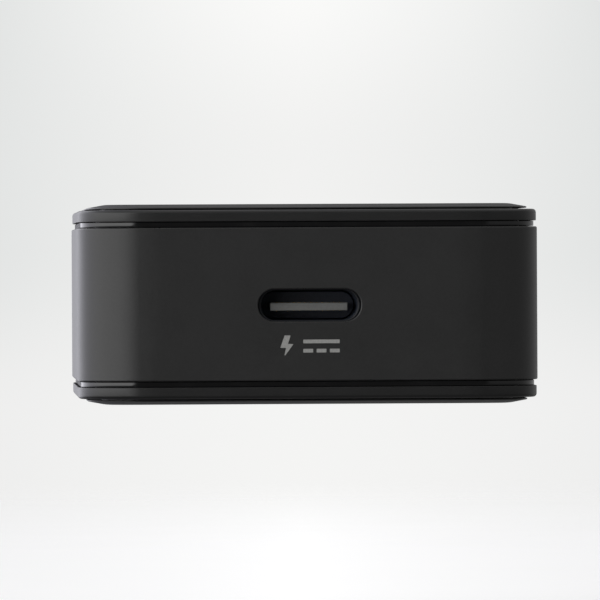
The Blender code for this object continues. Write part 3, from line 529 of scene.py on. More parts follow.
class Finish:
    """A procedural material on one shader, with short ways to the nodes it needs."""

    def __init__(self, name, **constants):
        self.material = bpy.data.materials.new(name)
        self.material.use_nodes = True
        self.tree = self.material.node_tree
        self.shader = self.tree.nodes["Principled BSDF"]
        for socket, value in constants.items():
            self.shader.inputs[socket.replace("_", " ")].default_value = value
        self.place = self.node("ShaderNodeTexCoord", output="Object")

    def node(self, kind, settings=(), inputs=(), output=0):
        node = self.tree.nodes.new(kind)
        for name, value in dict(settings).items():
            if name == "stops":
                ramp = node.color_ramp.elements
                while len(ramp) < len(value):
                    ramp.new(0.5)
                for element, (position, colour) in zip(ramp, value):
                    element.position = position
                    element.color = colour
            else:
                setattr(node, name, value)
        for name, item in dict(inputs).items():
            feed(node.inputs[name], item)
        return Signal(node.outputs[output])

    def noise(self, size, detail=2.0, stretch=None, rough=0.5):
        """Noise whose spots are about so many metres across, drawn out along an axis."""
        place = self.place
        if stretch:
            place = self.node("ShaderNodeVectorMath", {"operation": "MULTIPLY"},
                              {0: place, 1: stretch})
        return self.node("ShaderNodeTexNoise", {"noise_dimensions": "3D"},
                         {"Vector": place, "Scale": 1.0 / size, "Detail": detail,
                          "Roughness": rough}, "Fac")

    def edge(self):
        """How tightly the surface bends, broken up by a coarse noise."""
        bend = self.node("ShaderNodeAttribute", {"attribute_name": "edge"}, output="Fac")
        return (bend * (self.noise(0.0012, 3.0) * 1.6 - 0.25)).clamped()

    def blend(self, factor, first, second):
        """Mixes two colours, or colour signals, by a factor."""
        return self.node("ShaderNodeMix", {"data_type": "RGBA"},
                         {0: factor, 6: self.opaque(first), 7: self.opaque(second)}, 2)

    @staticmethod
    def opaque(colour):
        return colour if isinstance(colour, Signal) else (*colour[:3], 1.0)

    def spread(self, signal, low, high):
        """Carries the middle of a noise out to the range from 0 to 1."""
        return ((signal - low) * (1.0 / (high - low))).clamped()

    def paint(self, **inputs):
        for socket, item in inputs.items():
            feed(self.shader.inputs[socket.replace("_", " ")], item)

    def bump(self, height, distance, strength=1.0):
        self.paint(Normal=self.node("ShaderNodeBump", {},
                                    {"Strength": strength, "Distance": distance,
                                     "Height": height}))


def scaled(colour, factor):
    return tuple(channel * factor for channel in colour[:3])


def moulded(name, colour, roughness, grain=0.00013, height=0.000004, wear=1.9,
            mottle=0.14, polish=0.10, **constants):
    """Moulded plastic: spark-eroded grain, faint mottling and edges polished by hands, their lighter colour partly
    rubbed wear and partly a painted highlight.
    """
    finish = Finish(name, **constants)
    fine = finish.noise(grain, 3.0, rough=0.62)
    cloud = finish.spread(finish.noise(0.0035, 3.0), 0.3, 0.7)
    speck = finish.spread(finish.noise(grain * 1.7, 2.0), 0.35, 0.65)
    edge = finish.edge()
    tone = finish.blend(cloud, scaled(colour, 1.0 - mottle), scaled(colour, 1.0 + mottle))
    tone = finish.blend(speck * 0.30, tone, scaled(colour, 1.5))
    # Edges lightened towards the wear colour: partly rubbed wear, partly a painted highlight on the roundings.
    tone = finish.blend(edge * 0.6, tone, scaled(colour, wear))
    finish.paint(Base_Color=tone,
                 Roughness=(roughness + (cloud - 0.5) * 0.02 + (fine - 0.5) * 0.16
                            - edge * polish).clamped(0.04, 1.0))
    finish.bump(fine, height)
    return finish.material


def glossy(name, colour, roughness, smear=0.10, wave=0.000002, **constants):
    """Polished moulding: a slow ripple, fine hairlines, a breath of smudges and lighter edges, partly wear and
    partly a painted highlight.
    """
    finish = Finish(name, **constants)
    smudge = finish.spread(finish.noise(0.0022, 4.0), 0.45, 0.75)
    hair = finish.spread(finish.noise(0.0004, 2.0, (1.0, 1.0, 14.0)), 0.55, 0.8)
    tone = finish.blend(smudge, colour, scaled(colour, 1.35))
    # Lighter edges: partly wear, partly a painted highlight on the roundings.
    tone = finish.blend(finish.edge() * 0.5, tone, scaled(colour, 2.0))
    finish.paint(Base_Color=tone, Roughness=roughness + smudge * smear + hair * 0.04)
    finish.bump(finish.noise(0.003, 1.0) + hair * 0.05, wave)
    return finish.material


def plated(name, colour, roughness, stretch=(0.06, 1.0, 1.0), size=0.00018, wear=1.15,
           tarnish=0.82, height=0.0000012, **constants):
    """Plated or rolled metal: drawn streaks, cloudy tarnish and brighter edges, partly rubbed wear and partly a
    painted highlight.
    """
    finish = Finish(name, Metallic=1.0, **constants)
    streak = finish.noise(size, 3.0, stretch)
    cloud = finish.spread(finish.noise(0.0024, 4.0), 0.42, 0.72)
    edge = finish.edge()
    tone = finish.blend(cloud * 0.7, colour, scaled(colour, tarnish))
    tone = finish.blend(streak * 0.25, tone, scaled(colour, 0.75))
    # Brighter edges: partly rubbed plating, partly a painted highlight on the roundings.
    bright = tuple(min(1.0, channel * wear) for channel in colour[:3])
    tone = finish.blend(edge * 0.7, tone, bright)
    finish.paint(Base_Color=tone,
                 Roughness=(roughness + (streak - 0.5) * 0.16 + cloud * 0.08
                            - edge * 0.05).clamped(0.05, 1.0))
    finish.bump(streak, height)
    return finish.material


def printed(name, colour):
    """Matte ink: slightly uneven coverage with a fine tooth."""
    finish = Finish(name, IOR=1.45)
    cover = finish.spread(finish.noise(0.00016, 3.0), 0.35, 0.65)
    wear = finish.spread(finish.noise(0.0006, 2.0), 0.5, 0.75)
    tone = finish.blend(cover, scaled(colour, 0.90), scaled(colour, 1.06))
    tone = finish.blend(wear * 0.3, tone, scaled(colour, 0.8))
    finish.paint(Base_Color=tone, Roughness=0.55 + cover * 0.12)
    finish.bump(cover, 0.000002)
    return finish.material


def solder_mask(name, colour, roughness=0.36):
    """A printed board: copper runs under the mask, laid out in broken rows and columns."""
    finish = Finish(name)
    axes = finish.node("ShaderNodeSeparateXYZ", {}, {"Vector": finish.place}, "X")
    deep = Signal(axes.socket.node.outputs["Y"])
    rows = (deep * (2 * math.pi / 0.0011)).maths("SINE", deep * (2 * math.pi / 0.0011))
    columns = axes.maths("SINE", axes * (2 * math.pi / 0.0013))
    pick = finish.spread(finish.noise(0.0032, 1.0), 0.47, 0.53)
    run = finish.spread(rows * (1 - pick) + columns * pick, 0.55, 0.7)
    weave = finish.noise(0.0005, 2.0)
    tone = finish.blend(run * 0.6, colour, scaled(colour, 2.0))
    tone = finish.blend(finish.edge() * 0.6, tone, (0.33, 0.30, 0.16))
    finish.paint(Base_Color=tone, Roughness=roughness + weave * 0.12)
    finish.bump(run + weave * 0.2, 0.00002)
    return finish.material


def wound(name, colour, pitch=0.00032):
    """Enamelled wire laid turn by turn, with painted shade darkening the valleys between the turns."""
    finish = Finish(name, Metallic=1.0, Coat_Roughness=0.15)
    across = finish.node("ShaderNodeSeparateXYZ", {}, {"Vector": finish.place}, "Y")
    turn = across.maths("SINE", across * (2 * math.pi / pitch)) * 0.5 + 0.5
    age = finish.noise(0.0015, 3.0)
    # Painted shade: the valleys between the turns are darkened in the base colour.
    tone = finish.blend(turn, scaled(colour, 0.45), colour)
    tone = finish.blend(age * 0.35, tone, scaled(colour, 0.7))
    finish.paint(Base_Color=tone, Roughness=0.24 + age * 0.18)
    finish.bump(turn, 0.00006)
    return finish.material


def foil_tape(name, colour):
    """Polyester tape: glossy film with faint lengthwise tension lines."""
    finish = Finish(name)
    pull = finish.noise(0.0005, 2.0, (1.0, 1.0, 0.1))
    cloud = finish.spread(finish.noise(0.002, 2.0), 0.4, 0.7)
    tone = finish.blend(cloud, colour, scaled(colour, 0.86))
    finish.paint(Base_Color=tone, Roughness=0.25 + pull * 0.16)
    finish.bump(pull, 0.00001)
    return finish.material


def inner_finishes():
    """The finish of each record slot whose nodes are kept as they are."""
    return {
        "matte_casing": casing_finish(),
        "gloss_trim": trim_finish(),
        "inner_moulding": moulding_finish(),
        "plated_brass": blade_finish(),
        "socket_shell": shell_finish(),
        "socket_tongue": tongue_finish(),
        "spring_steel": plated("spring steel", (0.50, 0.50, 0.51), 0.28,
                               stretch=(1.0, 1.0, 0.08)),
        "gold_plate": contact_finish(),
        "board": solder_mask("green printed board", (0.016, 0.095, 0.045)),
        "copper_wire": wound("enamelled copper wire", (0.62, 0.25, 0.10)),
        "ferrite": moulded("sintered ferrite", (0.055, 0.055, 0.060), 0.60, grain=0.0002,
                           height=0.000016, mottle=0.22, wear=1.6),
        "yellow_tape": foil_tape("yellow polyester tape", (0.72, 0.50, 0.05)),
        "phenolic": moulded("phenolic bobbin", (0.030, 0.026, 0.022), 0.48, mottle=0.2),
        "capacitor_sleeve": moulded("dark shrink sleeve", (0.030, 0.036, 0.060), 0.30,
                                    grain=0.0007, height=0.000006, mottle=0.1),
        "rubber": moulded("black bung rubber", (0.022, 0.022, 0.022), 0.72,
                          grain=0.00025, height=0.00001, mottle=0.2),
        "aluminium": plated("bare aluminium", (0.78, 0.79, 0.81), 0.30, size=0.00025),
        "chip_epoxy": moulded("chip epoxy", (0.024, 0.024, 0.026), 0.50, grain=0.00009,
                              height=0.000006, mottle=0.18),
        "blue_ceramic": moulded("blue dipped ceramic", (0.080, 0.200, 0.420), 0.30,
                                grain=0.0008, height=0.00002, mottle=0.08, wear=1.2),
        "capacitor_case": moulded("yellow capacitor case", (0.66, 0.47, 0.06), 0.36,
                                  grain=0.0003, mottle=0.06, wear=1.15),
        "insulating_film": foil_tape("white insulating film", (0.72, 0.72, 0.70)),
        "adhesive": moulded("grey foam adhesive", (0.30, 0.30, 0.29), 0.85, grain=0.0002,
                            height=0.00004, mottle=0.16, wear=1.1),
    }


def shared(name, make):
    return bpy.data.materials.get(name) or make()


def casing_finish():
    return shared("matte black casing", lambda: moulded(
        "matte black casing", colours().casing, 0.36, wear=1.5, mottle=0.06, IOR=1.43))


def cover_finish():
    return shared("satin black covers", lambda: moulded(
        "satin black covers", colours().covers, 0.34, wear=1.2, mottle=0.06, polish=0.04,
        IOR=1.43))


def trim_finish():
    return shared("gloss black trim", lambda: glossy(
        "gloss black trim", colours().trim, 0.10, IOR=1.50))


def moulding_finish():
    return shared("black nylon", lambda: moulded(
        "black nylon", colours().moulding, 0.38, grain=0.00018, wear=1.8, IOR=1.52))


def blade_finish():
    return shared("nickel plated brass", lambda: plated(
        "nickel plated brass", colours().blade, 0.20, stretch=(1.0, 0.05, 1.0)))


def contact_finish():
    return shared("gold plated contacts", lambda: plated(
        "gold plated contacts", (0.72, 0.52, 0.22), 0.22, stretch=(1.0, 0.08, 1.0),
        tarnish=0.9))


def shell_finish():
    def build():
        finish = Finish("blued steel shell", Roughness=0.45, Specular_IOR_Level=0.25)
        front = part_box("usb_shell")[0].y
        depth = finish.node("ShaderNodeSeparateXYZ", {}, {"Vector": finish.place}, "Y")
        inside = finish.spread(depth, front + 0.0001, front + 0.0004)
        rim = scaled(colours().shell, 0.10)
        finish.paint(Base_Color=finish.blend(inside, rim, colours().shell))
        finish.bump(finish.noise(0.0001, 3.0), 0.000004)
        return finish.material
    return shared("blued steel shell", build)


def block_finish():
    return shared("dark socket block", lambda: moulded(
        "dark socket block", colours().block, 0.55, grain=0.0001, mottle=0.06, wear=1.3))


def tongue_finish():
    return shared("grey tongue polymer", lambda: moulded(
        "grey tongue polymer", colours().tongue, 0.46, grain=0.0001, mottle=0.06,
        wear=1.2, IOR=1.6))


# Casing

def body_outline():
    sizes = shape()
    low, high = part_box("sleeve")
    return soft_outline(high.x, high.y, sizes.corner_reach, sizes.corner_power)


def port_centre():
    low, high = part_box("usb_shell")
    return (0.0, (low.z + high.z) / 2)


def half_turned(points, side):
    """Levels of the top half as they are, or mirrored for the bottom half."""
    if side == "top":
        return points
    return [(inset, HEIGHT - level) for inset, level in points]


def port_cutters():
    sizes = shape()
    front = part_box("sleeve")[0].y
    low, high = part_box("usb_shell")
    hole = sweep("port_hole", stadium(sizes.port_width, sizes.port_height, port_centre()),
                 lipped(front, front + SLEEVE_WALL + OVERCUT, sizes.port_lip), "Y")
    relief = sweep("port_relief",
                   stadium(high.x - low.x + 2 * GAP, high.z - low.z + 2 * GAP,
                           port_centre()),
                   [(0.0, front + PORT_SKIN), (0.0, front + SLEEVE_WALL + OVERCUT)], "Y")
    return [hole, relief]


def mark_outlines():
    """A lightning bolt and the sign for direct current, as (x, z) outlines."""
    sizes = shape()
    width, height = sizes.mark_width, sizes.mark_height
    _, level = port_centre()
    middle = level - sizes.mark_drop
    left = -width / 2
    bolt_width = height * 0.64
    bolt = [(0.30, 0.0), (1.0, 0.60), (0.58, 0.60), (0.78, 1.0), (0.34, 1.0),
            (0.02, 0.42), (0.44, 0.42)]
    outlines = [[(left + x * bolt_width, middle + (z - 0.5) * height) for x, z in bolt]]
    sign_left = left + bolt_width + 0.16 * width
    sign_width = width / 2 - sign_left
    stroke = 0.175 * height
    rise = 0.215 * height
    outlines.append(rectangle(sign_width, stroke,
                              (sign_left + sign_width / 2, middle + rise)))
    dash = sign_width * 0.27
    for i in range(3):
        spot = sign_left + dash / 2 + i * (sign_width - dash) / 2
        outlines.append(rectangle(dash, stroke, (spot, middle - rise)))
    return outlines


def mark_solids(name, grow, front, back):
    solids = []
    for i, points in enumerate(mark_outlines()):
        soft = drawn_outline(rounded(points, 0.00004, 3))
        solids.append(sweep(f"{name}_{i}", soft, [(-grow, front), (-grow, back)], "Y"))
    return solids


MARK_DEPTH = 0.00003


def make_sleeve():
    sizes = shape()
    low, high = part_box("sleeve")
    edge = sizes.sleeve_edge
    section = rounded([(0.0, low.z), (0.0, high.z), (SLEEVE_WALL, high.z),
                       (SLEEVE_WALL, low.z)], [edge, edge, edge / 2, edge / 2], 4)
    sleeve = sweep("matte_sleeve", body_outline(), section, closed=True)
    combine(sleeve, port_cutters())
    combine(sleeve, mark_solids("mark_pocket", FINE_SEAM / 10, low.y - OVERCUT,
                                low.y + MARK_DEPTH))
    finish_piece(sleeve, casing_finish(), BODY, "matte_casing", "sleeve")


def make_mark():
    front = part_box("sleeve")[0].y
    mark = merged("printed_power_mark",
                  mark_solids("power_mark", 0.0, front + MARK_DEPTH / 3,
                              front + MARK_DEPTH))
    finish_piece(mark, shared("pale grey ink", lambda: printed("pale grey ink",
                                                               colours().ink)),
                 BODY, "matte_casing")


def make_trim_rings():
    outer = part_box("sleeve")[1].x
    for side in ("top", "bottom"):
        low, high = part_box(side + "_trim_ring")
        inset = outer - high.x
        section = rounded([(inset, low.z), (inset, high.z), (SLEEVE_WALL, high.z),
                           (SLEEVE_WALL, low.z)], 0.00003, 2)
        ring = sweep(side + "_gloss_ring", body_outline(), section, closed=True)
        finish_piece(ring, trim_finish(), BODY, "gloss_trim", side + "_trim_ring")


def window_outline(grow=0.0):
    """The plug's window and the two blade slots as one outline in plan."""
    low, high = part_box("right_blade")
    inner = low.x - BLADE_SLOT_CLEARANCE - grow
    outer = high.x + BLADE_SLOT_CLEARANCE + grow
    tip = low.y - BLADE_END_CLEARANCE - grow
    front = PIVOT.y - CARRIER_POCKET_RADIUS - grow
    back = PIVOT.y + CARRIER_POCKET_RADIUS + grow
    points = [(-outer, tip), (-inner, tip), (-inner, front), (inner, front), (inner, tip),
              (outer, tip), (outer, back), (-outer, back)]
    return drawn_outline(rounded(points, 0.00035, 5))


def scoop_tool(side, name, lip):
    """A soft hollow for a fingertip on the outer side of a blade's tip."""
    low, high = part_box("right_blade")
    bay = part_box("plug_bay")[1].x
    inner = low.x - BLADE_SLOT_CLEARANCE
    outer = bay - SCOOP_MARGIN
    centre = (side * (inner + outer) / 2, low.y + SCOOP_AHEAD_OF_TIP)
    radius = (outer - inner) * 0.44
    plan = drawn_outline(rounded(rectangle(outer - inner, SCOOP_LENGTH, centre), radius, 8))
    section = [(-lip, -OVERCUT), (-lip, -lip * 0.02)]
    for step in range(1, 6):
        turn = math.pi / 2 * step / 5
        section.append((-lip * (1 - math.sin(turn)), lip * (1 - math.cos(turn))))
    floor = radius * 0.98
    for step in range(1, 9):
        turn = math.pi / 2 * step / 8
        section.append((floor * (1 - math.cos(turn)),
                        SCOOP_DEPTH - floor + floor * math.sin(turn)))
    return sweep(name, plan, section)


def plug_openings(lip):
    """Cutters for the window, the slots and the two finger scoops."""
    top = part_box("plug_bay")[0].z + OVERCUT
    tools = [sweep("plug_window", window_outline(), lipped(0.0, top, lip))]
    for side in (-1, 1):
        tools.append(scoop_tool(side, "finger_scoop_left" if side < 0
                                else "finger_scoop_right", lip))
    return tools


def make_covers():
    sizes = shape()
    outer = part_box("sleeve")[1].x
    film_low, film_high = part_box("insulating_film")
    ceiling = film_high.z + SEAM
    low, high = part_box("top_cover")
    ring_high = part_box("top_trim_ring")[1].z
    glue_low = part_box("top_plate_adhesive")[0].z
    rim_inset = outer - high.x
    spigot = SLEEVE_WALL + SLIDE_FIT
    pocket = PLATE_FOOT_INSET - SLIDE_FIT
    drawn = [(spigot + SPIGOT_WALL, ceiling), (spigot + SPIGOT_WALL, low.z),
             (spigot, low.z), (spigot, ring_high + FINE_SEAM),
             (rim_inset, ring_high + FINE_SEAM), (rim_inset, high.z), (pocket, high.z),
             (pocket, glue_low - FINE_SEAM)]
    radii = [0.0, 0.0001, 0.0001, 0.0, 0.00005, sizes.cover_edge, 0.00006, 0.0]
    section = rounded(drawn, radii, 5)
    for side in ("top", "bottom"):
        cover = sweep(side + "_matte_cover", body_outline(), half_turned(section, side))
        if side == "bottom":
            combine(cover, plug_openings(sizes.window_lip))
        finish_piece(cover, cover_finish(), BODY, "matte_casing", side + "_cover")


def make_plates():
    sizes = shape()
    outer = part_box("sleeve")[1].x
    low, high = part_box("top_plate")
    rim_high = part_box("top_cover")[1].z
    inset = outer - high.x
    edge_top = rim_high + SEAM + PLATE_EDGE
    drawn = [(PLATE_FOOT_INSET, low.z), (PLATE_FOOT_INSET, rim_high + SEAM),
             (inset, rim_high + SEAM), (inset, edge_top), (inset + PLATE_RUN, high.z),
             (inset + 2 * PLATE_RUN, high.z)]
    section = rounded(drawn, [0.0, 0.0, 0.00003, sizes.plate_edge, sizes.plate_shoulder,
                              0.0], 5)
    for side in ("top", "bottom"):
        plate = sweep(side + "_matte_plate", body_outline(), half_turned(section, side))
        if side == "bottom":
            combine(plate, plug_openings(sizes.window_lip))
        finish_piece(plate, casing_finish(), BODY, "matte_casing", side + "_plate")


# Socket

def make_socket():
    low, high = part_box("usb_shell")
    section = rounded([(0.0, low.y), (0.0, high.y), (SOCKET_WALL, high.y),
                       (SOCKET_WALL, low.y)], [0.0001, 0.00005, 0.00005, 0.00012], 3)
    shell = sweep("socket_shell", stadium(high.x - low.x, high.z - low.z, port_centre()),
                  section, "Y", closed=True)
    finish_piece(shell, shell_finish(), BODY, "socket_shell", "usb_shell")
    make_tongue()


def make_tongue():
    """The grey tongue with its inlaid contacts, and the dark block that it grows from."""
    low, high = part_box("usb_tongue")
    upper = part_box("upper_usb_contacts")
    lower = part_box("lower_usb_contacts")
    bottom, top = lower[1].z + FINE_SEAM, upper[0].z - FINE_SEAM
    middle = (bottom + top) / 2
    inlay = FINE_SEAM
    face = rectangle(TONGUE_WIDTH, top - bottom, (0.0, middle))
    tongue = sweep("socket_tongue", drawn_outline(rounded(face, 0.00006, 3)),
                   softened(low.y, high.y - BLOCK_DEPTH, 0.00008), "Y")
    recesses, strips = [], []
    pitch = (upper[1].x - upper[0].x + 2 * FINE_SEAM) / CONTACT_COUNT
    for level, way in ((top, 1.0), (bottom, -1.0)):
        for i in range(CONTACT_COUNT):
            spot = (i - (CONTACT_COUNT - 1) / 2) * pitch
            start = low.y + CONTACT_SETBACK + (0.0004 if i % 3 else 0.0)
            levels = sorted((level - way * inlay, level + way * OVERCUT / 4))
            recesses.append(box_piece("recess", (spot - pitch / 4, start, levels[0]),
                                      (spot + pitch / 4, high.y - BLOCK_DEPTH - SEAM,
                                       levels[1])))
            levels = sorted((level - way * inlay * 0.98, level + way * inlay * 0.2))
            plan = rectangle(pitch / 2 - FINE_SEAM / 5,
                             high.y - BLOCK_DEPTH - SEAM - start - FINE_SEAM / 5,
                             (spot, (high.y - BLOCK_DEPTH - SEAM + start) / 2))
            strips.append((way, sweep("strip", drawn_outline(rounded(plan, 0.00005, 3)),
                                      [(0.0, levels[0]), (0.0, levels[1])])))
    combine(tongue, [merged("recesses", recesses)])
    finish_piece(tongue, tongue_finish(), BODY, "socket_tongue", "usb_tongue")
    for way, name in ((1.0, "upper"), (-1.0, "lower")):
        row = merged(name + "_contact_row", [strip for side, strip in strips
                                             if side == way])
        finish_piece(row, contact_finish(), BODY, "gold_plate", name + "_usb_contacts")
    block = sweep("socket_block", stadium(high.x - low.x, high.z - low.z, port_centre()),
                  softened(high.y - BLOCK_DEPTH, high.y, 0.0001), "Y")
    finish_piece(block, block_finish(), BODY, "inner_moulding")


# Folding plug

def make_blades():
    sizes = shape()
    for side in ("left", "right"):
        low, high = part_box(side + "_blade")
        half = (high.z - low.z) / 2
        heel = [(PIVOT.y + half * math.sin(math.pi * i / 24),
                 PIVOT.z - half * math.cos(math.pi * i / 24)) for i in range(25)]
        tip = [(low.y, high.z), (low.y, low.z)]
        soft_tip = rounded([heel[-1], *tip, heel[0]],
                           [0.0, BLADE_TIP_CHAMFER, BLADE_TIP_CHAMFER, 0.0], 12)
        outline = drawn_outline(heel + soft_tip[1:-1])
        blade = sweep(side + "_plug_blade", outline,
                      softened(low.x, high.x, sizes.blade_edge, 4), "X")
        middle = (low.x + high.x) / 2
        form = bmesh.new()
        form.from_mesh(blade.data)
        bmesh.ops.bisect_plane(form, geom=[*form.verts, *form.edges, *form.faces],
                               dist=1e-8, plane_no=(0.0, 1.0, 0.0),
                               plane_co=(0.0, low.y + BLADE_TIP_CHAMFER, 0.0))
        for vert in form.verts:
            near = max(0.0, 1.0 - (vert.co.y - low.y) / BLADE_TIP_CHAMFER)
            vert.co.x = middle + (vert.co.x - middle) * (1.0 - 0.35 * near)
        form.to_mesh(blade.data)
        form.free()
        keyhole = KEY_SIDE + 2 * AXLE_CLEARANCE
        spot = (PIVOT.y - BLADE_HOLE_REACH, PIVOT.z)
        tools = [box_piece("keyhole", (low.x - OVERCUT, PIVOT.y - keyhole / 2,
                                       PIVOT.z - keyhole / 2),
                           (high.x + OVERCUT, PIVOT.y + keyhole / 2,
                            PIVOT.z + keyhole / 2), 0.0001, "X")]
        ring = drawn_outline([(spot[0] + BLADE_HOLE_RADIUS * math.cos(math.pi * i / 24),
                               spot[1] + BLADE_HOLE_RADIUS * math.sin(math.pi * i / 24))
                              for i in range(48)])
        edge = sizes.blade_edge * 0.6
        entry = lipped(low.x, middle, edge, 3)
        leave = lipped(high.x, middle, edge, 3)
        tools.append(sweep("blade_hole", ring, entry[:-1] + leave[-2::-1], "X"))
        combine(blade, tools)
        finish_piece(blade, blade_finish(), PLUG, "plated_brass", side + "_blade",
                     crease=9)


def make_carrier():
    right_low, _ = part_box("right_blade")
    low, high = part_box("blade_carrier")
    drum_half = right_low.x - 2 * SEAM
    bay_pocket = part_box("plug_bay")[1].x - BAY_WALL
    plan = rounded(rectangle(2 * CARRIER_HALF, 2 * CARRIER_HALF, (PIVOT.y, PIVOT.z)),
                   0.0012, 8)
    carrier = sweep("plug_carrier", drawn_outline(plan),
                    softened(-drum_half, drum_half, 0.00025, 4), "X")
    key_half = bay_pocket - GAP
    key = sweep("carrier_key",
                drawn_outline(rounded(rectangle(KEY_SIDE, KEY_SIDE, (PIVOT.y, PIVOT.z)),
                                      0.0001, 2)),
                softened(-key_half, key_half, 0.0001), "X")
    axle = drum("carrier_axle", AXLE_RADIUS, low.x, high.x, (PIVOT.y, PIVOT.z), "X", 40,
                0.0001)
    combine(carrier, [key, axle], "UNION")
    finish_piece(carrier, moulding_finish(), PLUG, "inner_moulding", "blade_carrier")


def make_bay():
    low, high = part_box("plug_bay")
    blade_low, blade_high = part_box("right_blade")
    screw_low, screw_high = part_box("right_retainer_screw")
    plan = drawn_outline(rounded(rectangle(high.x - low.x, high.y - low.y,
                                           (0.0, (low.y + high.y) / 2)), BAY_WALL, 5))
    bay = sweep("bay_moulding", plan, softened(low.z, high.z, 0.0001))
    half = high.x - BAY_WALL
    tools = [box_piece("carrier_pocket", (-half, PIVOT.y - CARRIER_POCKET_RADIUS,
                                          -OVERCUT),
                       (half, PIVOT.y + CARRIER_POCKET_RADIUS, high.z + OVERCUT), 0.0003)]
    inner = blade_low.x - BLADE_SLOT_CLEARANCE
    outer = blade_high.x + BLADE_SLOT_CLEARANCE
    for side in (-1, 1):
        spans = sorted((side * inner, side * outer))
        tools.append(box_piece("slot_left" if side < 0 else "slot_right",
                               (spans[0], blade_low.y - BLADE_END_CLEARANCE, -OVERCUT),
                               (spans[1], PIVOT.y,
                                blade_high.z + BLADE_END_CLEARANCE), 0.00035))
        tools.append(scoop_tool(side, "bay_scoop_left" if side < 0
                                else "bay_scoop_right", 0.00001))
    room = AXLE_RADIUS + AXLE_CLEARANCE
    tools.append(box_piece("axle_notch",
                           (low.x - OVERCUT, PIVOT.y - room, PIVOT.z),
                           (high.x + OVERCUT, PIVOT.y + room, high.z + OVERCUT)))
    tools.append(drum("axle_cradle", room, low.x - OVERCUT, high.x + OVERCUT,
                      (PIVOT.y, PIVOT.z), "X", 40))
    core = inner - BAY_WALL
    tools.append(box_piece("bay_core", (-core, low.y + BAY_WALL, low.z + BAY_WALL),
                           (core, screw_low.y - BAY_WALL, high.z + OVERCUT), 0.0003))
    combine(bay, tools)
    finish_piece(bay, moulding_finish(), BODY, "inner_moulding", "plug_bay")


# Kept nodes

def dress_kept_nodes():
    """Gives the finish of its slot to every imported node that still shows."""
    finishes = inner_finishes()
    for part in frame["record"]["subparts"]:
        node = frame["nodes"][part["node"]]
        surface = finishes[part["material_slot"]]
        if not node.material_slots:
            raise RuntimeError(f"{node.name} has no material slot")
        for holder in node.material_slots:
            holder.material = surface


# Stage

def make_floor():
    setup = stage_settings()
    steps = 96
    form = bmesh.new()
    centre = form.verts.new((0.0, 0.0, -setup.floor_drop))
    rings = []
    for reach in (0.2, 0.4, 0.6, 0.8, 1.0):
        radius = setup.floor_radius * reach
        rings.append([form.verts.new((radius * math.cos(2 * math.pi * i / steps),
                                      radius * math.sin(2 * math.pi * i / steps),
                                      -setup.floor_drop)) for i in range(steps)])
    for i in range(steps):
        j = (i + 1) % steps
        form.faces.new((centre, rings[0][i], rings[0][j]))
        for inner, outer in zip(rings, rings[1:]):
            form.faces.new((inner[i], outer[i], outer[j], inner[j]))
    mesh = bpy.data.meshes.new("studio_floor")
    form.to_mesh(mesh)
    form.free()
    floor = bpy.data.objects.new("studio_floor", mesh)
    bpy.context.scene.collection.objects.link(floor)
    finish = Finish("pale studio floor", Roughness=0.7, Specular_IOR_Level=0.2,
                    Emission_Strength=0.13)
    paper = finish.noise(0.02, 3.0)
    finish.paint(Base_Color=finish.blend(paper, (0.95, 0.95, 0.935), (0.98, 0.98, 0.965)))
    reach = finish.node("ShaderNodeVectorMath", {"operation": "LENGTH"},
                        {0: finish.place}, "Value") / setup.floor_radius
    fade = finish.spread(reach, 0.38, 0.99)
    fade = fade * fade * (3 - fade * 2)
    clear = finish.node("ShaderNodeBsdfTransparent")
    # Painted pool of light: the floor glows in a strip that runs away from the camera through the charger,
    # brightest along its middle.
    across = Vector((math.cos(setup.azimuth), math.sin(setup.azimuth), 0.0))
    aside = finish.node("ShaderNodeVectorMath", {"operation": "DOT_PRODUCT"},
                        {0: finish.place, 1: across}, "Value")
    painted_light_pool = 1 - finish.spread(aside.maths("ABSOLUTE", aside), 0.0, GLOW_REACH)
    finish.paint(Emission_Color=finish.blend(painted_light_pool * painted_light_pool, (0.0, 0.0, 0.0), (1.0, 1.0, 0.99)))
    mixed = finish.node("ShaderNodeMixShader", {},
                        {0: fade, 1: Signal(finish.shader.outputs[0]), 2: clear})
    output = finish.tree.nodes["Material Output"]
    feed(output.inputs["Surface"], mixed)
    mesh.materials.append(finish.material)
    floor.visible_glossy = False
    floor.visible_diffuse = False


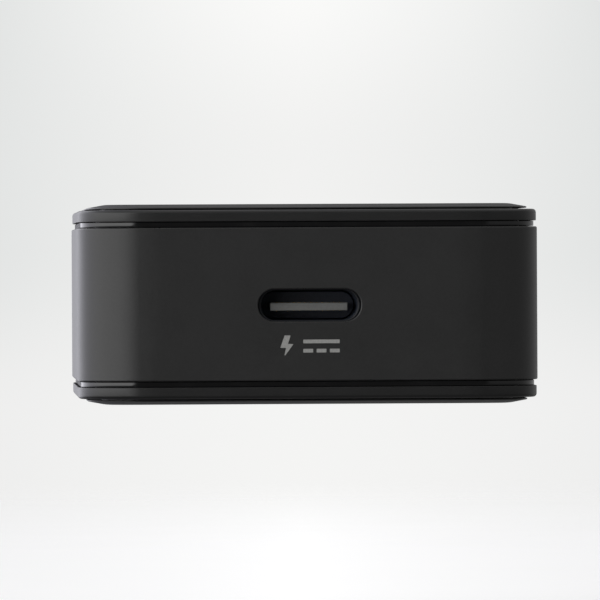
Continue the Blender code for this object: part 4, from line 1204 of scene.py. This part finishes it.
def make_studio_light():
    """Soft light from all round: a bright left, a dim right, dark behind the camera."""
    setup = stage_settings()
    world = bpy.data.worlds.new("studio light")
    bpy.context.scene.world = world
    world.use_nodes = True
    tree = world.node_tree
    tree.nodes.clear()

    def node(kind, settings=(), inputs=(), output=0):
        made = tree.nodes.new(kind)
        for name, value in dict(settings).items():
            setattr(made, name, value)
        for name, item in dict(inputs).items():
            feed(made.inputs[name], item)
        return Signal(made.outputs[output])

    def ramp(signal, low, high):
        part = ((signal - low) * (1.0 / (high - low))).clamped()
        return part * part * (3 - part * 2)

    way = node("ShaderNodeTexCoord", output="Generated")
    x = node("ShaderNodeSeparateXYZ", {}, {"Vector": way}, "X")
    y, z = (Signal(x.socket.node.outputs[name]) for name in ("Y", "Z"))
    turn = x.maths("ARCTAN2", x, 0 - y) * (180.0 / math.pi)
    away = turn.maths("ABSOLUTE", turn)
    left = ramp(0 - turn, 9.0, 15.0)
    right = ramp(turn, 16.0, 24.0)
    beside = ramp(0 - turn, 70.0, 130.0)
    behind = ramp(away, 164.0, 178.0)
    level = (setup.front_light
             + left * (setup.left_light * (1.20 - beside * 0.50) - setup.front_light)
             + right * (setup.right_light - setup.front_light))
    level = level + behind * (setup.rear_light - level)
    high = ramp(z, 0.45, 0.75)
    level = level + high * (setup.top_light - level)
    low = ramp(0 - z, 0.05, 0.30)
    level = level + low * (setup.low_light - level)
    # What the camera sees straight on is a painted backdrop with a painted pool of light: lighter behind and above
    # the charger and towards the floor, darker at the sides.
    middle = 180.0 + math.degrees(setup.azimuth)
    half = math.atan(setup.view_width / 2 / setup.distance)
    aside = (turn.maths("ABSOLUTE", turn - middle) * (1.0 / math.degrees(half))).clamped()
    steep = ramp(z.maths("ABSOLUTE", z), 0.12, 0.40)
    above = ramp(z, 0.35 * half, 1.0 * half)
    below = ramp(0 - z, -0.08 * half, 0.50 * half)
    sides = node("ShaderNodeMix", {"data_type": "RGBA"},
                 {0: below, 6: (*setup.backdrop, 1.0), 7: (0.86, 0.86, 0.855, 1.0)}, 2)
    centre = node("ShaderNodeMix", {"data_type": "RGBA"},
                  {0: (above + below * 0.35).clamped(), 6: (*setup.backdrop_middle, 1.0),
                   7: (0.960, 0.960, 0.950, 1.0)}, 2)
    bright = node("ShaderNodeMix", {"data_type": "RGBA"},
                  {0: (1 - aside.maths("POWER", aside, 1.45)) * (1 - steep),
                   6: sides, 7: centre}, 2)
    seen = node("ShaderNodeBackground", {}, {"Color": bright, "Strength": 1.0})
    tint = node("ShaderNodeMix", {"data_type": "RGBA"},
                {0: beside, 6: (1.0, 1.0, 1.0, 1.0), 7: (0.97, 0.97, 1.05, 1.0)}, 2)
    light = node("ShaderNodeBackground", {}, {"Color": tint, "Strength": level})
    camera_ray = node("ShaderNodeLightPath", output="Is Camera Ray")
    mixed = node("ShaderNodeMixShader", {}, {0: camera_ray, 1: light, 2: seen})
    feed(tree.nodes.new("ShaderNodeOutputWorld").inputs["Surface"], mixed)


def make_camera():
    setup = stage_settings()
    scene = bpy.context.scene
    scene.view_settings.view_transform = "Standard"
    data = bpy.data.cameras.new("studio camera")
    camera = bpy.data.objects.new("studio camera", data)
    scene.collection.objects.link(camera)
    scene.camera = camera
    data.sensor_width = 36.0
    data.lens = data.sensor_width * setup.distance / setup.view_width
    data.clip_start, data.clip_end = 0.01, 10.0
    turn, rise = setup.azimuth, setup.elevation
    back = Vector((math.sin(turn) * math.cos(rise), -math.cos(turn) * math.cos(rise),
                   math.sin(rise)))
    aim = Vector((setup.aim_side, BODY_LOW.y, setup.aim_level))
    camera.location = aim + back * setup.distance
    facing = (-back).to_track_quat("-Z", "Y")
    camera.rotation_mode = "QUATERNION"
    camera.rotation_quaternion = facing @ Matrix.Rotation(setup.roll, 3,
                                                          "Z").to_quaternion()


# Operators

class CHARGER_OT_sleeve(bpy.types.Operator):
    """Make the matte sleeve with its port opening"""
    bl_idname = "charger.sleeve"
    bl_label = "Sleeve"

    def execute(self, context):
        make_sleeve()
        return {"FINISHED"}


class CHARGER_OT_mark(bpy.types.Operator):
    """Print the power mark below the port"""
    bl_idname = "charger.mark"
    bl_label = "Power Mark"

    def execute(self, context):
        make_mark()
        return {"FINISHED"}


class CHARGER_OT_trim_rings(bpy.types.Operator):
    """Make the two gloss rings in their grooves"""
    bl_idname = "charger.trim_rings"
    bl_label = "Trim Rings"

    def execute(self, context):
        make_trim_rings()
        return {"FINISHED"}


class CHARGER_OT_covers(bpy.types.Operator):
    """Make the top and bottom covers"""
    bl_idname = "charger.covers"
    bl_label = "Covers"

    def execute(self, context):
        make_covers()
        return {"FINISHED"}


class CHARGER_OT_plates(bpy.types.Operator):
    """Make the bevelled plates that close both faces"""
    bl_idname = "charger.plates"
    bl_label = "Plates"

    def execute(self, context):
        make_plates()
        return {"FINISHED"}


class CHARGER_OT_socket(bpy.types.Operator):
    """Make the socket's shell and tongue"""
    bl_idname = "charger.socket"
    bl_label = "Socket"

    def execute(self, context):
        make_socket()
        return {"FINISHED"}


class CHARGER_OT_plug(bpy.types.Operator):
    """Make the folding blades, their carrier and the bay they stow in"""
    bl_idname = "charger.plug"
    bl_label = "Folding Plug"

    def execute(self, context):
        make_blades()
        make_carrier()
        make_bay()
        return {"FINISHED"}


class CHARGER_OT_inside(bpy.types.Operator):
    """Finish the electronics and fixings inside"""
    bl_idname = "charger.inside"
    bl_label = "Inside"

    def execute(self, context):
        dress_kept_nodes()
        return {"FINISHED"}


class CHARGER_OT_stage(bpy.types.Operator):
    """Set up the floor, the light and the camera"""
    bl_idname = "charger.stage"
    bl_label = "Studio"

    def execute(self, context):
        make_floor()
        make_studio_light()
        make_camera()
        return {"FINISHED"}


OPERATORS = (CHARGER_OT_sleeve, CHARGER_OT_mark, CHARGER_OT_trim_rings,
             CHARGER_OT_covers, CHARGER_OT_plates, CHARGER_OT_socket, CHARGER_OT_plug,
             CHARGER_OT_inside, CHARGER_OT_stage)


class CHARGER_PT_sidebar(bpy.types.Panel):
    """Everything that makes the charger, in the order in which it is made"""
    bl_idname = "CHARGER_PT_sidebar"
    bl_label = "Slim wall charger"
    bl_space_type = "VIEW_3D"
    bl_region_type = "UI"
    bl_category = "Charger"

    def draw(self, context):
        layout = self.layout
        for operator in OPERATORS:
            layout.operator(operator.bl_idname)
        for group in ("charger_shape", "charger_colours", "charger_stage"):
            settings = getattr(context.scene, group)
            box = layout.box()
            for name in settings.__annotations__:
                box.prop(settings, name)


CLASSES = (ChargerShape, ChargerColours, ChargerStage, *OPERATORS, CHARGER_PT_sidebar)


def register():
    for made in CLASSES:
        bpy.utils.register_class(made)
    bpy.types.Scene.charger_shape = PointerProperty(type=ChargerShape)
    bpy.types.Scene.charger_colours = PointerProperty(type=ChargerColours)
    bpy.types.Scene.charger_stage = PointerProperty(type=ChargerStage)


def unregister():
    del bpy.types.Scene.charger_stage
    del bpy.types.Scene.charger_colours
    del bpy.types.Scene.charger_shape
    for made in reversed(CLASSES):
        bpy.utils.unregister_class(made)


def main():
    register()
    bpy.ops.charger.sleeve()
    bpy.ops.charger.mark()
    bpy.ops.charger.trim_rings()
    bpy.ops.charger.covers()
    bpy.ops.charger.plates()
    bpy.ops.charger.socket()
    bpy.ops.charger.plug()
    bpy.ops.charger.inside()
    bpy.ops.charger.stage()


if __name__ == "__main__":
    main()
